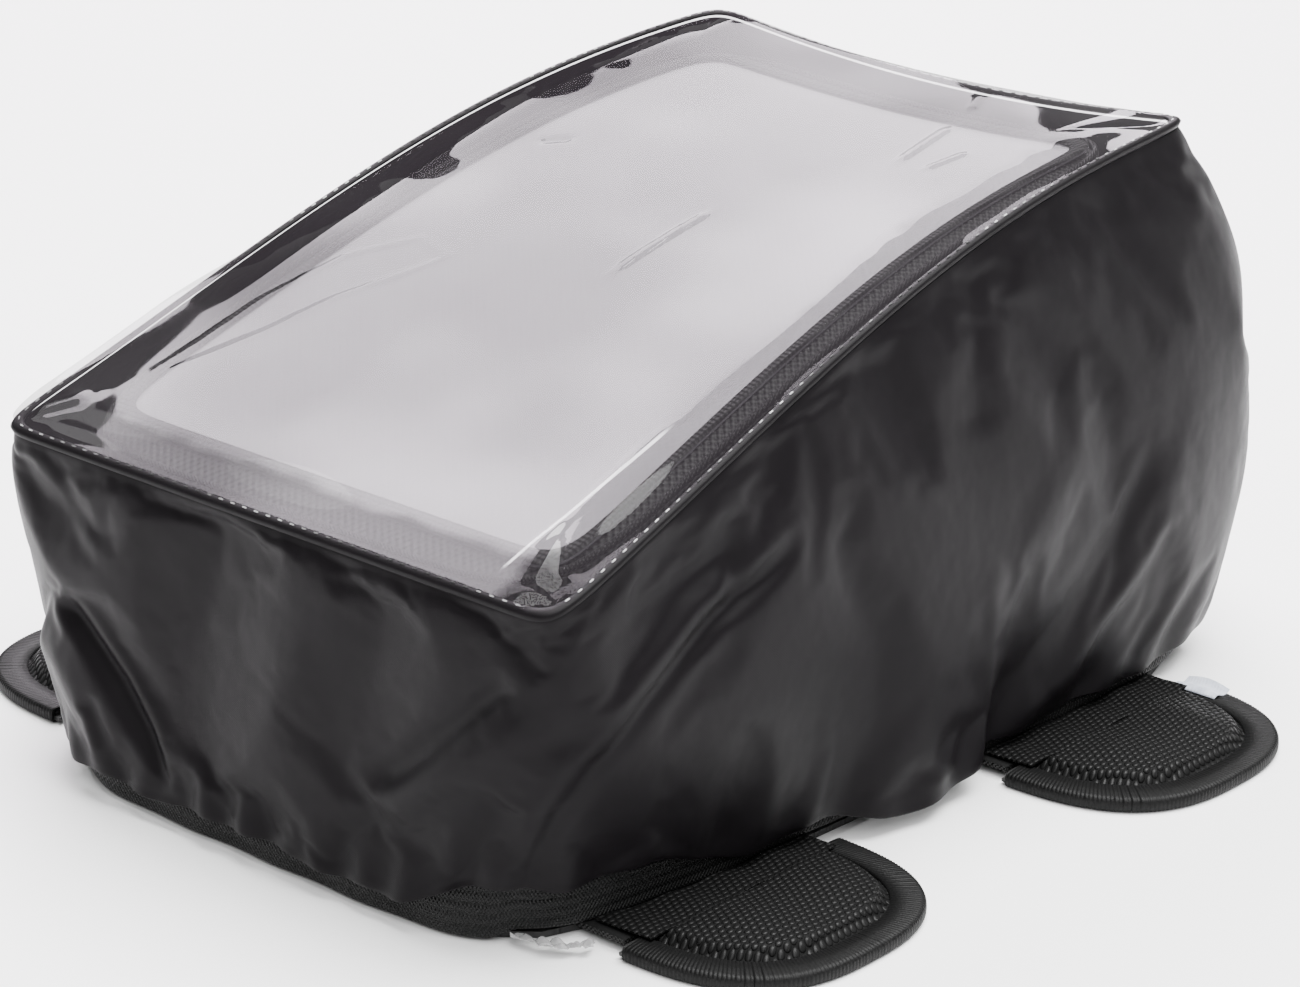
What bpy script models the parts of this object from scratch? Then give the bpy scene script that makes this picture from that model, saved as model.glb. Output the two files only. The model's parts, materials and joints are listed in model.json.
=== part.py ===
"""Magnetic motorcycle tank bag wearing its rain cover.

Frame: metres, +Z up, X across the bag, the low end (rider side) at -Y and
the high end at +Y.  The bag stands on its base and its flaps at Z = 0.
"""
import math

import bmesh
import bpy
from mathutils import Matrix, Vector

# --- Driving dimensions of the rain cover ------------------------------------
WINDOW_FRONT_Y = -0.1695      # low edge of the clear window
WINDOW_REAR_Y = 0.1465        # high edge of the clear window
WINDOW_HALF_FRONT = 0.116     # half width of the window at its low edge
WINDOW_HALF_REAR = 0.100      # half width of the window at its high edge
HEIGHT_FRONT = 0.109          # window height above the ground at its low edge
HEIGHT_REAR = 0.180           # window height above the ground at its high edge
WINDOW_DOME = 0.015           # rise of the long edges above a straight line
DOME_SKEW = 1.3               # moves the top of that dome towards the high end
REAR_SAG = 0.007              # sag of the film between its two high corners

HEM_FRONT_Y = -0.1775
HEM_REAR_Y = 0.1645
HEM_HALF_FRONT = 0.113
HEM_HALF_REAR = 0.127
HEM_Z = 0.0095                # hem height, just clear of the flaps
SIDE_BULGE = 0.005            # how far the skirt swells between hem and window
REAR_BULGE = 0.022
REAR_SIDE_BULGE = 0.012
SEAM_POWER = 14.0             # squareness of the plan outline at the window
RIM_POWER = 8.0               # at the zip, inside what the lifted hem clears
HEM_POWER = 6.0               # and at the foot, where the corners are rounder

SKIRT_THICK = 0.0012
FILM_THICK = 0.0010
EDGE_WIDTH = 0.0060           # folded seam edge on top of the film
EDGE_THICK = 0.0009
HEM_BAND_HEIGHT = 0.0090      # elastic sewn inside the hem
HEM_BAND_THICK = 0.0014
LOW_RISE = 0.1                # height share of the skirt's lowest ring above the hem

# --- Driving dimensions of the bag --------------------------------------------
BASE_INSET = 0.0062           # wall face at the base, inside the hem outline
RIM_INSET = 0.0115            # wall face at the zip, inside the window outline
RIM_FRONT_INSET = 0.0125      # the same at the low end, where the lid swings out
WALL_THICK = 0.0055
LINING_THICK = 0.0008
BASE_PANEL_THICK = 0.0020
BOARD_THICK = 0.0020
BOARD_INSET = 0.0130          # board edge inside the wall face
BAND_HEIGHT = 0.0270          # ribbed webbing round the foot of the walls
BAND_THICK = 0.0013
BAND_FOOT_Z = 0.0010
BAND_STEP_SHARE = 0.80        # share of the half width where it steps up

LID_DROP = 0.0050             # lid top under the cover's film
LID_THICK = 0.0055
GUSSET_HEIGHT = 0.0090
GUSSET_THICK = 0.0028
ZIP_TAPE_HEIGHT = 0.0040
ZIP_TAPE_THICK = 0.0014
ZIP_STOP_DEG = 60.0           # whole steps of the outline from the high end to the zip
POCKET_SHARE = 0.930          # map pocket's size as a share of the lid
POCKET_EDGE_SHARE = 0.89      # inner edge of the pocket's binding
POCKET_FILM_THICK = 0.0006
POCKET_EDGE_THICK = 0.0007
HINGE_STRIP_HALF = 0.0700
HINGE_STRIP_HEIGHT = 0.0085
HINGE_STRIP_THICK = 0.0010

SLIDER_LENGTH = 0.0120
SLIDER_HEIGHT = 0.0070
SLIDER_THICK = 0.0026
SLIDER_BEVEL = 0.0005
SLIDER_CLEAR = 0.0015         # between the slider or its pull and the bag
SLIDER_Y = -0.0475
SLIDER_RUN = 0.030            # straight run of zip on either side of the slider
PULL_LENGTH = 0.0240
PULL_WIDTH = 0.0050
PULL_THICK = 0.0022

HANDLE_HALF_LENGTH = 0.070
HANDLE_WIDTH = 0.025
HANDLE_THICK = 0.0024
HANDLE_DROP = 0.030           # handle centre below the zip
HANDLE_RISE = 0.0022
HANDLE_STEPS = 14

# --- Driving dimensions of the flaps ------------------------------------------
FLAP_REACH = 0.057            # from the fold line to the rounded tip
FLAP_HALF_WIDTH = 0.049
FLAP_POWER = 2.7
FLAP_FRONT_Y = -0.1000
FLAP_REAR_Y = 0.0660
FLAP_FRONT_STAND_OFF = 0.0020 # from the hem, at the flap's wider end, to its fold line
FLAP_REAR_STAND_OFF = 0.0042
FLAP_HINGE_Z = 0.0031
FLAP_ROOT_GAP = 0.0010        # flap underside starts this far beyond the fold
FLAP_SHELL_ROOT = 0.0030      # and its padded top here
FLAP_HEIGHT = 0.0080
FLAP_EDGE_HEIGHT = 0.0045
FLAP_SKIN = 0.0012
BINDING_WIDTH = 0.0100
BINDING_THICK = 0.0006
BINDING_WEB = 0.0010
ANCHOR_HALF_WIDTH = 0.044
ANCHOR_THICK = 0.0017
PAD_ROOT = 0.0040             # the padded middle starts this far beyond the root
PAD_SLOPE = 0.0045
MAGNET_LENGTH_SHARE = 0.65    # of half the raised pad's width
MAGNET_SPACING_SHARE = 0.80
MAGNET_WIDTH = 0.020
MAGNET_THICK = 0.0040
MAGNET_BEVEL = 0.0008
LABEL_LENGTH = 0.016
LABEL_WIDTH = 0.0085
LABEL_THICK = 0.0005

GAP = 0.0003                  # clearance between touching pieces
DOME_SHARES = (0.35, 0.7)     # rings between a domed sheet's centre and its edge
SEGMENTS = 48                 # points round a plan outline
FLAP_SEGMENTS = 18

# --- Values worked out from them ------------------------------------------------
BOARD_Z = BASE_PANEL_THICK + GAP
WALL_FOOT_Z = BOARD_Z + BOARD_THICK + GAP
WINDOW_MIDDLE_Y = (WINDOW_FRONT_Y + WINDOW_REAR_Y) / 2.0
RIM_DROP = LID_DROP + LID_THICK + GUSSET_HEIGHT + 2 * ZIP_TAPE_HEIGHT + 4 * GAP


# --- Outline and height of the wedge ---------------------------------------------
def mix(a, b, t):
    return a + (b - a) * t


def unit_outline(degrees, power):
    """Point on a superellipse of half size 1 at a polar angle."""
    angle = math.radians(degrees)
    c = math.cos(angle)
    s = math.sin(angle)
    radius = (abs(c) ** power + abs(s) ** power) ** (-1.0 / power)
    return c * radius, s * radius


def plan_point(degrees, power, half_front, half_rear, y_front, y_rear):
    """Point on the tapered plan outline: 0 degrees is +X, 90 is the high end."""
    u, v = unit_outline(degrees, power)
    t = (v + 1.0) / 2.0
    return u * mix(half_front, half_rear, t), mix(y_front, y_rear, t)


def edge_height(y):
    t = (y - WINDOW_FRONT_Y) / (WINDOW_REAR_Y - WINDOW_FRONT_Y)
    held = min(max(t, 0.0), 1.0)
    rise = math.sin(math.pi * held ** DOME_SKEW)
    return mix(HEIGHT_FRONT, HEIGHT_REAR, held) + WINDOW_DOME * rise


def top_height(x, y):
    """Height of the cover's film."""
    t = (y - WINDOW_FRONT_Y) / (WINDOW_REAR_Y - WINDOW_FRONT_Y)
    held = min(max(t, 0.0), 1.0)
    half = mix(WINDOW_HALF_FRONT, WINDOW_HALF_REAR, held)
    across = min(abs(x) / half, 1.0)
    return edge_height(y) - REAR_SAG * held ** 2 * (1.0 - across ** 2)


def window_point(degrees, inset):
    return plan_point(degrees, SEAM_POWER, WINDOW_HALF_FRONT - inset,
                      WINDOW_HALF_REAR - inset, WINDOW_FRONT_Y + inset, WINDOW_REAR_Y - inset)


def skirt_point(degrees, rise, inset):
    """Point on the skirt: rise 0 is the hem, 1 the window seam."""
    swell = 4.0 * rise * (1.0 - rise)
    side = SIDE_BULGE * swell - inset
    rear_side = REAR_SIDE_BULGE * swell - inset
    rear = REAR_BULGE * swell - inset
    hem_x, hem_y = plan_point(degrees, HEM_POWER, HEM_HALF_FRONT + side,
                              HEM_HALF_REAR + rear_side, HEM_FRONT_Y + inset, HEM_REAR_Y + rear)
    top_x, top_y = plan_point(degrees, SEAM_POWER, WINDOW_HALF_FRONT + side,
                              WINDOW_HALF_REAR + rear_side, WINDOW_FRONT_Y + inset,
                              WINDOW_REAR_Y + rear)
    seam_x, seam_y = window_point(degrees, 0.0)
    seam_z = top_height(seam_x, seam_y) - FILM_THICK - GAP
    return mix(hem_x, top_x, rise), mix(hem_y, top_y, rise), mix(HEM_Z, seam_z, rise)


def wall_point(degrees, rise, inset):
    """Point on the bag's wall face: rise 0 is the base, 1 the zip rim."""
    foot_inset = BASE_INSET + inset
    rim_inset = RIM_INSET + inset
    foot_x, foot_y = plan_point(degrees, HEM_POWER, HEM_HALF_FRONT - foot_inset,
                                HEM_HALF_REAR - foot_inset, HEM_FRONT_Y + foot_inset,
                                HEM_REAR_Y - foot_inset)
    rim_x, rim_y = plan_point(degrees, RIM_POWER, WINDOW_HALF_FRONT - rim_inset,
                              WINDOW_HALF_REAR - rim_inset,
                              WINDOW_FRONT_Y + RIM_FRONT_INSET + inset,
                              WINDOW_REAR_Y - rim_inset)
    return mix(foot_x, rim_x, rise), mix(foot_y, rim_y, rise)


def rim_height(degrees):
    """Height of the walls' top edge."""
    x, y = wall_point(degrees, 1.0, 0.0)
    return top_height(x, y) - RIM_DROP


def band_rise(degrees):
    """Share of the wall's height that the webbing band covers."""
    return (BAND_FOOT_Z + BAND_HEIGHT - WALL_FOOT_Z) / (rim_height(degrees) - WALL_FOOT_Z)


def rim_point(degrees, inset, drop):
    """Point on the lid's outline, drop below the cover's film."""
    x, y = wall_point(degrees, 1.0, inset)
    return x, y, top_height(x, y) - drop


# --- Mesh tools ---------------------------------------------------------------------
def material(name, colour, roughness, metallic=0.0, alpha=1.0):
    mat = bpy.data.materials.new(name)
    mat.use_nodes = True
    shader = mat.node_tree.nodes["Principled BSDF"]
    shader.inputs["Base Color"].default_value = (*colour, 1.0)
    shader.inputs["Roughness"].default_value = roughness
    shader.inputs["Metallic"].default_value = metallic
    shader.inputs["Alpha"].default_value = alpha
    return mat


def add_object(name, mesh_builder, mat, parent=None, smooth_deg=35.0):
    mesh = bpy.data.meshes.new(name)
    bmesh.ops.recalc_face_normals(mesh_builder, faces=mesh_builder.faces)
    mesh_builder.to_mesh(mesh)
    mesh_builder.free()
    mesh.shade_smooth()
    mesh.set_sharp_from_angle(angle=math.radians(smooth_deg))
    obj = bpy.data.objects.new(name, mesh)
    obj.data.materials.append(mat)
    bpy.context.scene.collection.objects.link(obj)
    if parent is not None:
        obj.parent = parent
        obj.matrix_parent_inverse = Matrix.Translation(-parent.location)
    return obj


def pivot(name, location):
    """Empty on a joint's axis, parent of the pieces that move about it."""
    empty = bpy.data.objects.new(name, None)
    empty.location = location
    bpy.context.scene.collection.objects.link(empty)
    return empty


def strip(bm, low_start, low_end, high_end, high_start):
    """Two triangles, always split from the lower point of one side to the higher of the other."""
    if low_start.co.z <= high_start.co.z:
        bm.faces.new((low_start, low_end, high_end))
        bm.faces.new((low_start, high_end, high_start))
    else:
        bm.faces.new((low_start, low_end, high_start))
        bm.faces.new((low_end, high_end, high_start))


def sweep(sections, closed):
    """Bridge matching cross-sections; an open sweep gets an end cap at each end."""
    bm = bmesh.new()
    loops = [[bm.verts.new(point) for point in section] for section in sections]
    count = len(loops)
    for i in range(count if closed else count - 1):
        here = loops[i]
        there = loops[(i + 1) % count]
        size = len(here)
        for j in range(size):
            k = (j + 1) % size
            strip(bm, here[j], there[j], there[k], here[k])
    if not closed:
        bm.faces.new(loops[0])
        bm.faces.new(loops[-1])
    return bm


def stack(rings, low_centre, high_centre):
    """Rings joined in order, closed by a fan to a centre point at each end."""
    bm = bmesh.new()
    loops = [[bm.verts.new(point) for point in ring] for ring in rings]
    size = len(loops[0])
    for here, there in zip(loops, loops[1:]):
        for j in range(size):
            k = (j + 1) % size
            strip(bm, here[j], here[k], there[k], there[j])
    for loop, centre in ((loops[0], low_centre), (loops[-1], high_centre)):
        hub = bm.verts.new(centre)
        for j in range(size):
            bm.faces.new((loop[j], loop[(j + 1) % size], hub))
    return bm


def box(centre, size, bevel, turn=None):
    """Bevelled block, turned about its centre."""
    bm = bmesh.new()
    bmesh.ops.create_cube(bm, size=1.0)
    bmesh.ops.scale(bm, vec=size, verts=bm.verts)
    if bevel > 0.0:
        bmesh.ops.bevel(bm, geom=bm.edges[:], offset=bevel, segments=1,
                        profile=0.5, affect="EDGES")
    if turn is not None:
        bmesh.ops.transform(bm, matrix=turn, verts=bm.verts)
    bmesh.ops.translate(bm, vec=centre, verts=bm.verts)
    return bm


def round_angles(start=0.0, end=360.0, count=SEGMENTS):
    """Angles of a full round, or of an arc including both of its ends."""
    full = abs(end - start) >= 360.0
    steps = count if full else count + 1
    return [start + (end - start) * i / count for i in range(steps)]


# --- Rain cover ------------------------------------------------------------------------
def build_cover(mats):
    parent = pivot("cover_lift", (0.0, 0.0, HEM_Z))
    rises = (1.0, 0.94, 0.8, 0.55, 0.3, LOW_RISE, 0.0)

    sections = []
    for a in round_angles():
        outer = [skirt_point(a, rise, 0.0) for rise in rises]
        inner = [skirt_point(a, rise, SKIRT_THICK) for rise in reversed(rises)]
        sections.append(outer + inner)
    add_object("cover_skirt", sweep(sections, True), mats["cover_fabric"], parent)

    def film_ring(share, drop):
        ring = []
        for a in round_angles():
            x, y = window_point(a, 0.0)
            x = x * share
            y = mix(WINDOW_MIDDLE_Y, y, share)
            ring.append((x, y, top_height(x, y) - drop))
        return ring

    crown = top_height(0.0, WINDOW_MIDDLE_Y)
    shares = (*DOME_SHARES, 1.0)
    low = [film_ring(share, FILM_THICK) for share in shares]
    high = [film_ring(share, 0.0) for share in reversed(shares)]
    film = stack(low + high, (0.0, WINDOW_MIDDLE_Y, crown - FILM_THICK),
                 (0.0, WINDOW_MIDDLE_Y, crown))
    add_object("cover_window", film, mats["clear_film"], parent)

    sections = []
    for a in round_angles():
        x0, y0 = window_point(a, 0.0)
        x1, y1 = window_point(a, EDGE_WIDTH)
        z0 = top_height(x0, y0) + GAP
        z1 = top_height(x1, y1) + GAP
        sections.append([(x0, y0, z0), (x1, y1, z1), (x1, y1, z1 + EDGE_THICK),
                         (x0, y0, z0 + EDGE_THICK)])
    add_object("cover_seam_edge", sweep(sections, True), mats["cover_fabric"], parent)

    sections = []
    for a in round_angles():
        section = []
        for inset in (SKIRT_THICK + GAP, SKIRT_THICK + GAP + HEM_BAND_THICK):
            foot = Vector(skirt_point(a, 0.0, inset))
            above = Vector(skirt_point(a, LOW_RISE, inset))
            share = HEM_BAND_HEIGHT / (above.z - foot.z)
            section += [foot, foot.lerp(above, share)]
        foot_out, top_out, foot_in, top_in = section
        sections.append([foot_out, foot_in, top_in, top_out])
    add_object("cover_hem_elastic", sweep(sections, True), mats["elastic"], parent)


# --- Bag body ------------------------------------------------------------------------------
def wall_section(degrees):
    rises = (0.0, band_rise(degrees), 1.0)
    section = []
    for inset, order in ((0.0, rises), (WALL_THICK, tuple(reversed(rises)))):
        for rise in order:
            x, y = wall_point(degrees, rise, inset)
            section.append((x, y, mix(WALL_FOOT_Z, rim_height(degrees), rise)))
    return section


def build_walls(mats):
    """Four padded panels that meet at the corner seams with a small gap."""
    seam = math.degrees(GAP / WINDOW_HALF_FRONT)
    panels = {"right_wall": (-45, 45), "rear_wall": (45, 135),
              "left_wall": (135, 225), "front_wall": (225, 315)}
    for name, (start, end) in panels.items():
        angles = round_angles(start, end, SEGMENTS // 4)
        angles[0] += seam
        angles[-1] -= seam
        add_object(name, sweep([wall_section(a) for a in angles], False), mats["body_fabric"])


def build_base(mats):
    def flat_ring(inset, z):
        return [(*wall_point(a, 0.0, inset), z) for a in round_angles()]

    centre_y = (HEM_FRONT_Y + HEM_REAR_Y) / 2.0
    panel = stack([flat_ring(0.0, 0.0), flat_ring(0.0, BASE_PANEL_THICK)],
                  (0.0, centre_y, 0.0), (0.0, centre_y, BASE_PANEL_THICK))
    add_object("base_panel", panel, mats["base_rubber"])

    top = BOARD_Z + BOARD_THICK
    board = stack([flat_ring(BOARD_INSET, BOARD_Z), flat_ring(BOARD_INSET, top)],
                  (0.0, centre_y, BOARD_Z), (0.0, centre_y, top))
    add_object("base_board", board, mats["board"])


def build_lining(mats):
    outside = WALL_THICK + GAP
    inside = outside + LINING_THICK
    floor = WALL_FOOT_Z + LINING_THICK

    def lining_ring(inset, level, foot):
        ring = []
        for a in round_angles():
            rise = (0.0, band_rise(a), 1.0)[level]
            x, y = wall_point(a, rise, inset)
            ring.append((x, y, mix(foot, rim_height(a), rise)))
        return ring

    rings = [lining_ring(outside, level, WALL_FOOT_Z) for level in (0, 1, 2)]
    rings += [lining_ring(inside, level, floor) for level in (2, 1, 0)]
    centre_y = (HEM_FRONT_Y + HEM_REAR_Y) / 2.0
    tub = stack(rings, (0.0, centre_y, WALL_FOOT_Z), (0.0, centre_y, floor))
    add_object("lining", tub, mats["lining"])


def build_band(mats):
    """Ribbed webbing round the foot of the walls, raised along the flapped sides."""
    top = BAND_FOOT_Z + BAND_HEIGHT
    sections = []
    for a in round_angles():
        on_a_side = abs(unit_outline(a, HEM_POWER)[0]) > BAND_STEP_SHARE
        foot = BOARD_Z + ANCHOR_THICK + GAP if on_a_side else BAND_FOOT_Z
        section = []
        for inset, rise, z in ((-GAP, 0.0, foot), (-GAP, 0.0, WALL_FOOT_Z),
                               (-GAP, band_rise(a), top),
                               (-GAP - BAND_THICK, band_rise(a), top),
                               (-GAP - BAND_THICK, 0.0, WALL_FOOT_Z),
                               (-GAP - BAND_THICK, 0.0, foot)):
            section.append((*wall_point(a, rise, inset), z))
        sections.append(section)
    add_object("base_band", sweep(sections, True), mats["webbing"])


def zip_sections(low_drop, high_drop):
    """Flat tape on the rim, open at the high end."""
    sections = []
    steps = round(SEGMENTS * (360.0 - 2.0 * ZIP_STOP_DEG) / 360.0)
    angles = round_angles(90.0 + ZIP_STOP_DEG, 450.0 - ZIP_STOP_DEG, steps)
    for a in angles:
        outer = rim_point(a, 0.0, low_drop)
        inner = rim_point(a, ZIP_TAPE_THICK, low_drop)
        rise = low_drop - high_drop
        sections.append([outer, inner, (*inner[:2], inner[2] + rise),
                         (*outer[:2], outer[2] + rise)])
    return sections


def build_rim(mats):
    low = RIM_DROP - GAP
    add_object("body_zip_tape", sweep(zip_sections(low, low - ZIP_TAPE_HEIGHT + GAP), False),
               mats["zip"])


def wall_side_x(y, rise):
    """Half width of the wall face at a place on its straight long side."""
    y_front = mix(HEM_FRONT_Y + BASE_INSET, WINDOW_FRONT_Y + RIM_FRONT_INSET, rise)
    y_rear = mix(HEM_REAR_Y - BASE_INSET, WINDOW_REAR_Y - RIM_INSET, rise)
    half_front = mix(HEM_HALF_FRONT - BASE_INSET, WINDOW_HALF_FRONT - RIM_INSET, rise)
    half_rear = mix(HEM_HALF_REAR - BASE_INSET, WINDOW_HALF_REAR - RIM_INSET, rise)
    return mix(half_front, half_rear, (y - y_front) / (y_rear - y_front))


def zip_line(side):
    """Two points of the zip's parting line at the ends of the slider's run."""
    points = []
    for y in (SLIDER_Y - SLIDER_RUN, SLIDER_Y + SLIDER_RUN):
        x = wall_side_x(y, 1.0)
        z = top_height(x, y) - RIM_DROP + ZIP_TAPE_HEIGHT
        points.append(Vector((side * x, y, z)))
    return points


def build_slider(side, name, mats):
    """Slider and its soft pull, outside the zip's teeth on one long side."""
    start, end = zip_line(side)
    along = (end - start).normalized()
    out = Vector((side, 0.0, 0.0))
    up = Vector((0.0, -along.z, along.y)).normalized()
    turn = Matrix((along, out, up)).transposed().to_4x4()
    centre = (start + end) / 2.0 + out * (SLIDER_THICK / 2.0 + SLIDER_CLEAR)
    parent = pivot("zip_slide_" + name, centre)
    body = box(centre, (SLIDER_LENGTH, SLIDER_THICK, SLIDER_HEIGHT), SLIDER_BEVEL, turn)
    add_object("zip_slider_" + name, body, mats["zip_metal"], parent)

    drop = (SLIDER_HEIGHT + SLIDER_LENGTH * along.z + PULL_WIDTH * along.z) / 2.0 + 2 * GAP
    rim_z = top_height(wall_side_x(SLIDER_Y, 1.0), SLIDER_Y) - RIM_DROP
    ends = []
    for z in (centre.z - drop, centre.z - drop - PULL_LENGTH):
        rise = (z - WALL_FOOT_Z) / (rim_z - WALL_FOOT_Z)
        stand_off = PULL_THICK / 2.0 + SLIDER_CLEAR
        ends.append(Vector((side * (wall_side_x(SLIDER_Y, rise) + stand_off), SLIDER_Y, z)))
    top, tip = ends
    lean = (top - tip).normalized()
    out = Vector((0.0, 1.0, 0.0)).cross(lean).normalized()
    turn = Matrix((out, Vector((0.0, 1.0, 0.0)), lean)).transposed().to_4x4()
    pull = box((top + tip) / 2.0, (PULL_THICK, PULL_WIDTH, PULL_LENGTH), SLIDER_BEVEL, turn)
    add_object("zip_pull_" + name, pull, mats["webbing"], parent)


def build_handle(mats):
    """Flat webbing grab handle lying on the high end wall."""
    sections = []
    for i in range(HANDLE_STEPS + 1):
        t = i / HANDLE_STEPS
        x = mix(-HANDLE_HALF_LENGTH, HANDLE_HALF_LENGTH, t)
        lift = HANDLE_RISE * math.sin(math.pi * t) + 2 * GAP
        section = []
        for level, thick in ((-1, 0.0), (-1, HANDLE_THICK), (1, HANDLE_THICK), (1, 0.0)):
            z = HEIGHT_REAR - REAR_SAG - RIM_DROP - HANDLE_DROP + level * HANDLE_WIDTH / 2.0
            rim_z = HEIGHT_REAR - REAR_SAG - RIM_DROP
            rise = (z - WALL_FOOT_Z) / (rim_z - WALL_FOOT_Z)
            wall_y = wall_point(90.0, rise, 0.0)[1]
            section.append((x, wall_y + lift + thick, z))
        sections.append(section)
    add_object("carry_handle", sweep(sections, False), mats["webbing"])


# --- Lid ---------------------------------------------------------------------------------------
def lid_axis():
    """The lid folds along the rim of the high end wall."""
    y = wall_point(90.0, 1.0, 0.0)[1] + HINGE_STRIP_THICK
    z = HEIGHT_REAR - REAR_SAG - RIM_DROP + ZIP_TAPE_HEIGHT
    return y, z


def lid_ring(share, drop):
    ring = []
    for a in round_angles():
        x, y = wall_point(a, 1.0, 0.0)
        x = x * share
        y = mix(WINDOW_MIDDLE_Y, y, share)
        ring.append((x, y, top_height(x, y) - drop))
    return ring


def domed_sheet(shares, top_drop, thick):
    rings = [lid_ring(share, top_drop + thick) for share in shares]
    rings += [lid_ring(share, top_drop) for share in reversed(shares)]
    crown = top_height(0.0, WINDOW_MIDDLE_Y) - top_drop
    return stack(rings, (0.0, WINDOW_MIDDLE_Y, crown - thick), (0.0, WINDOW_MIDDLE_Y, crown))


def build_lid(mats):
    axis_y, axis_z = lid_axis()
    parent = pivot("lid_fold", (0.0, axis_y, axis_z))
    pocket_shares = (*DOME_SHARES, POCKET_EDGE_SHARE, POCKET_SHARE)
    panel = domed_sheet((*pocket_shares, 1.0), LID_DROP, LID_THICK)
    add_object("lid_panel", panel, mats["lid_fabric"], parent)

    low = LID_DROP + LID_THICK + GAP + GUSSET_HEIGHT
    sections = []
    for a in round_angles():
        outer = rim_point(a, 0.0, low)
        inner = rim_point(a, GUSSET_THICK, low)
        sections.append([outer, inner, (*inner[:2], inner[2] + GUSSET_HEIGHT),
                         (*outer[:2], outer[2] + GUSSET_HEIGHT)])
    add_object("lid_gusset", sweep(sections, True), mats["body_fabric"], parent)

    tape_top = low + GAP
    tape = zip_sections(tape_top + ZIP_TAPE_HEIGHT - GAP, tape_top)
    add_object("lid_zip_tape", sweep(tape, False), mats["zip"], parent)

    film_drop = LID_DROP - GAP - POCKET_FILM_THICK
    film = domed_sheet(pocket_shares, film_drop, POCKET_FILM_THICK)
    add_object("map_pocket_film", film, mats["pocket_film"], parent)

    low = film_drop - GAP
    rings = [lid_ring(POCKET_SHARE, low), lid_ring(POCKET_EDGE_SHARE, low),
             lid_ring(POCKET_EDGE_SHARE, low - POCKET_EDGE_THICK),
             lid_ring(POCKET_SHARE, low - POCKET_EDGE_THICK)]
    binding = sweep([list(section) for section in zip(*rings)], True)
    add_object("map_pocket_binding", binding, mats["binding"], parent)


def build_hinge_strip(mats):
    """Fabric strip on the high end wall that the lid folds on."""
    rim_z = HEIGHT_REAR - REAR_SAG - RIM_DROP
    top_z = rim_z - GAP
    foot_z = top_z - HINGE_STRIP_HEIGHT
    near = GAP
    far = GAP + HINGE_STRIP_THICK
    sections = []
    for x in (-HINGE_STRIP_HALF, HINGE_STRIP_HALF):
        section = []
        for z, stand_off in ((foot_z, near), (top_z, near), (top_z, far), (foot_z, far)):
            rise = (z - WALL_FOOT_Z) / (rim_z - WALL_FOOT_Z)
            section.append((x, wall_point(90.0, rise, 0.0)[1] + stand_off, z))
        sections.append(section)
    add_object("lid_hinge_strip", sweep(sections, False), mats["webbing"])


# --- Magnetic flaps ---------------------------------------------------------------------------------
def hem_side_x(y):
    """Half width of the skirt's hem at a place on its straight long side."""
    return mix(HEM_HALF_FRONT, HEM_HALF_REAR, (y - HEM_FRONT_Y) / (HEM_REAR_Y - HEM_FRONT_Y))


def flap_outline(root, inset):
    """Tongue beyond the fold line: (reach, along) pairs, cut off straight at its root."""
    points = []
    for i in range(FLAP_SEGMENTS + 1):
        degrees = mix(-90.0, 90.0, i / FLAP_SEGMENTS)
        u, v = unit_outline(degrees, FLAP_POWER)
        reach = mix(FLAP_ROOT_GAP, FLAP_REACH - inset, u)
        points.append((max(reach, root), v * (FLAP_HALF_WIDTH - inset)))
    return points


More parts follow.
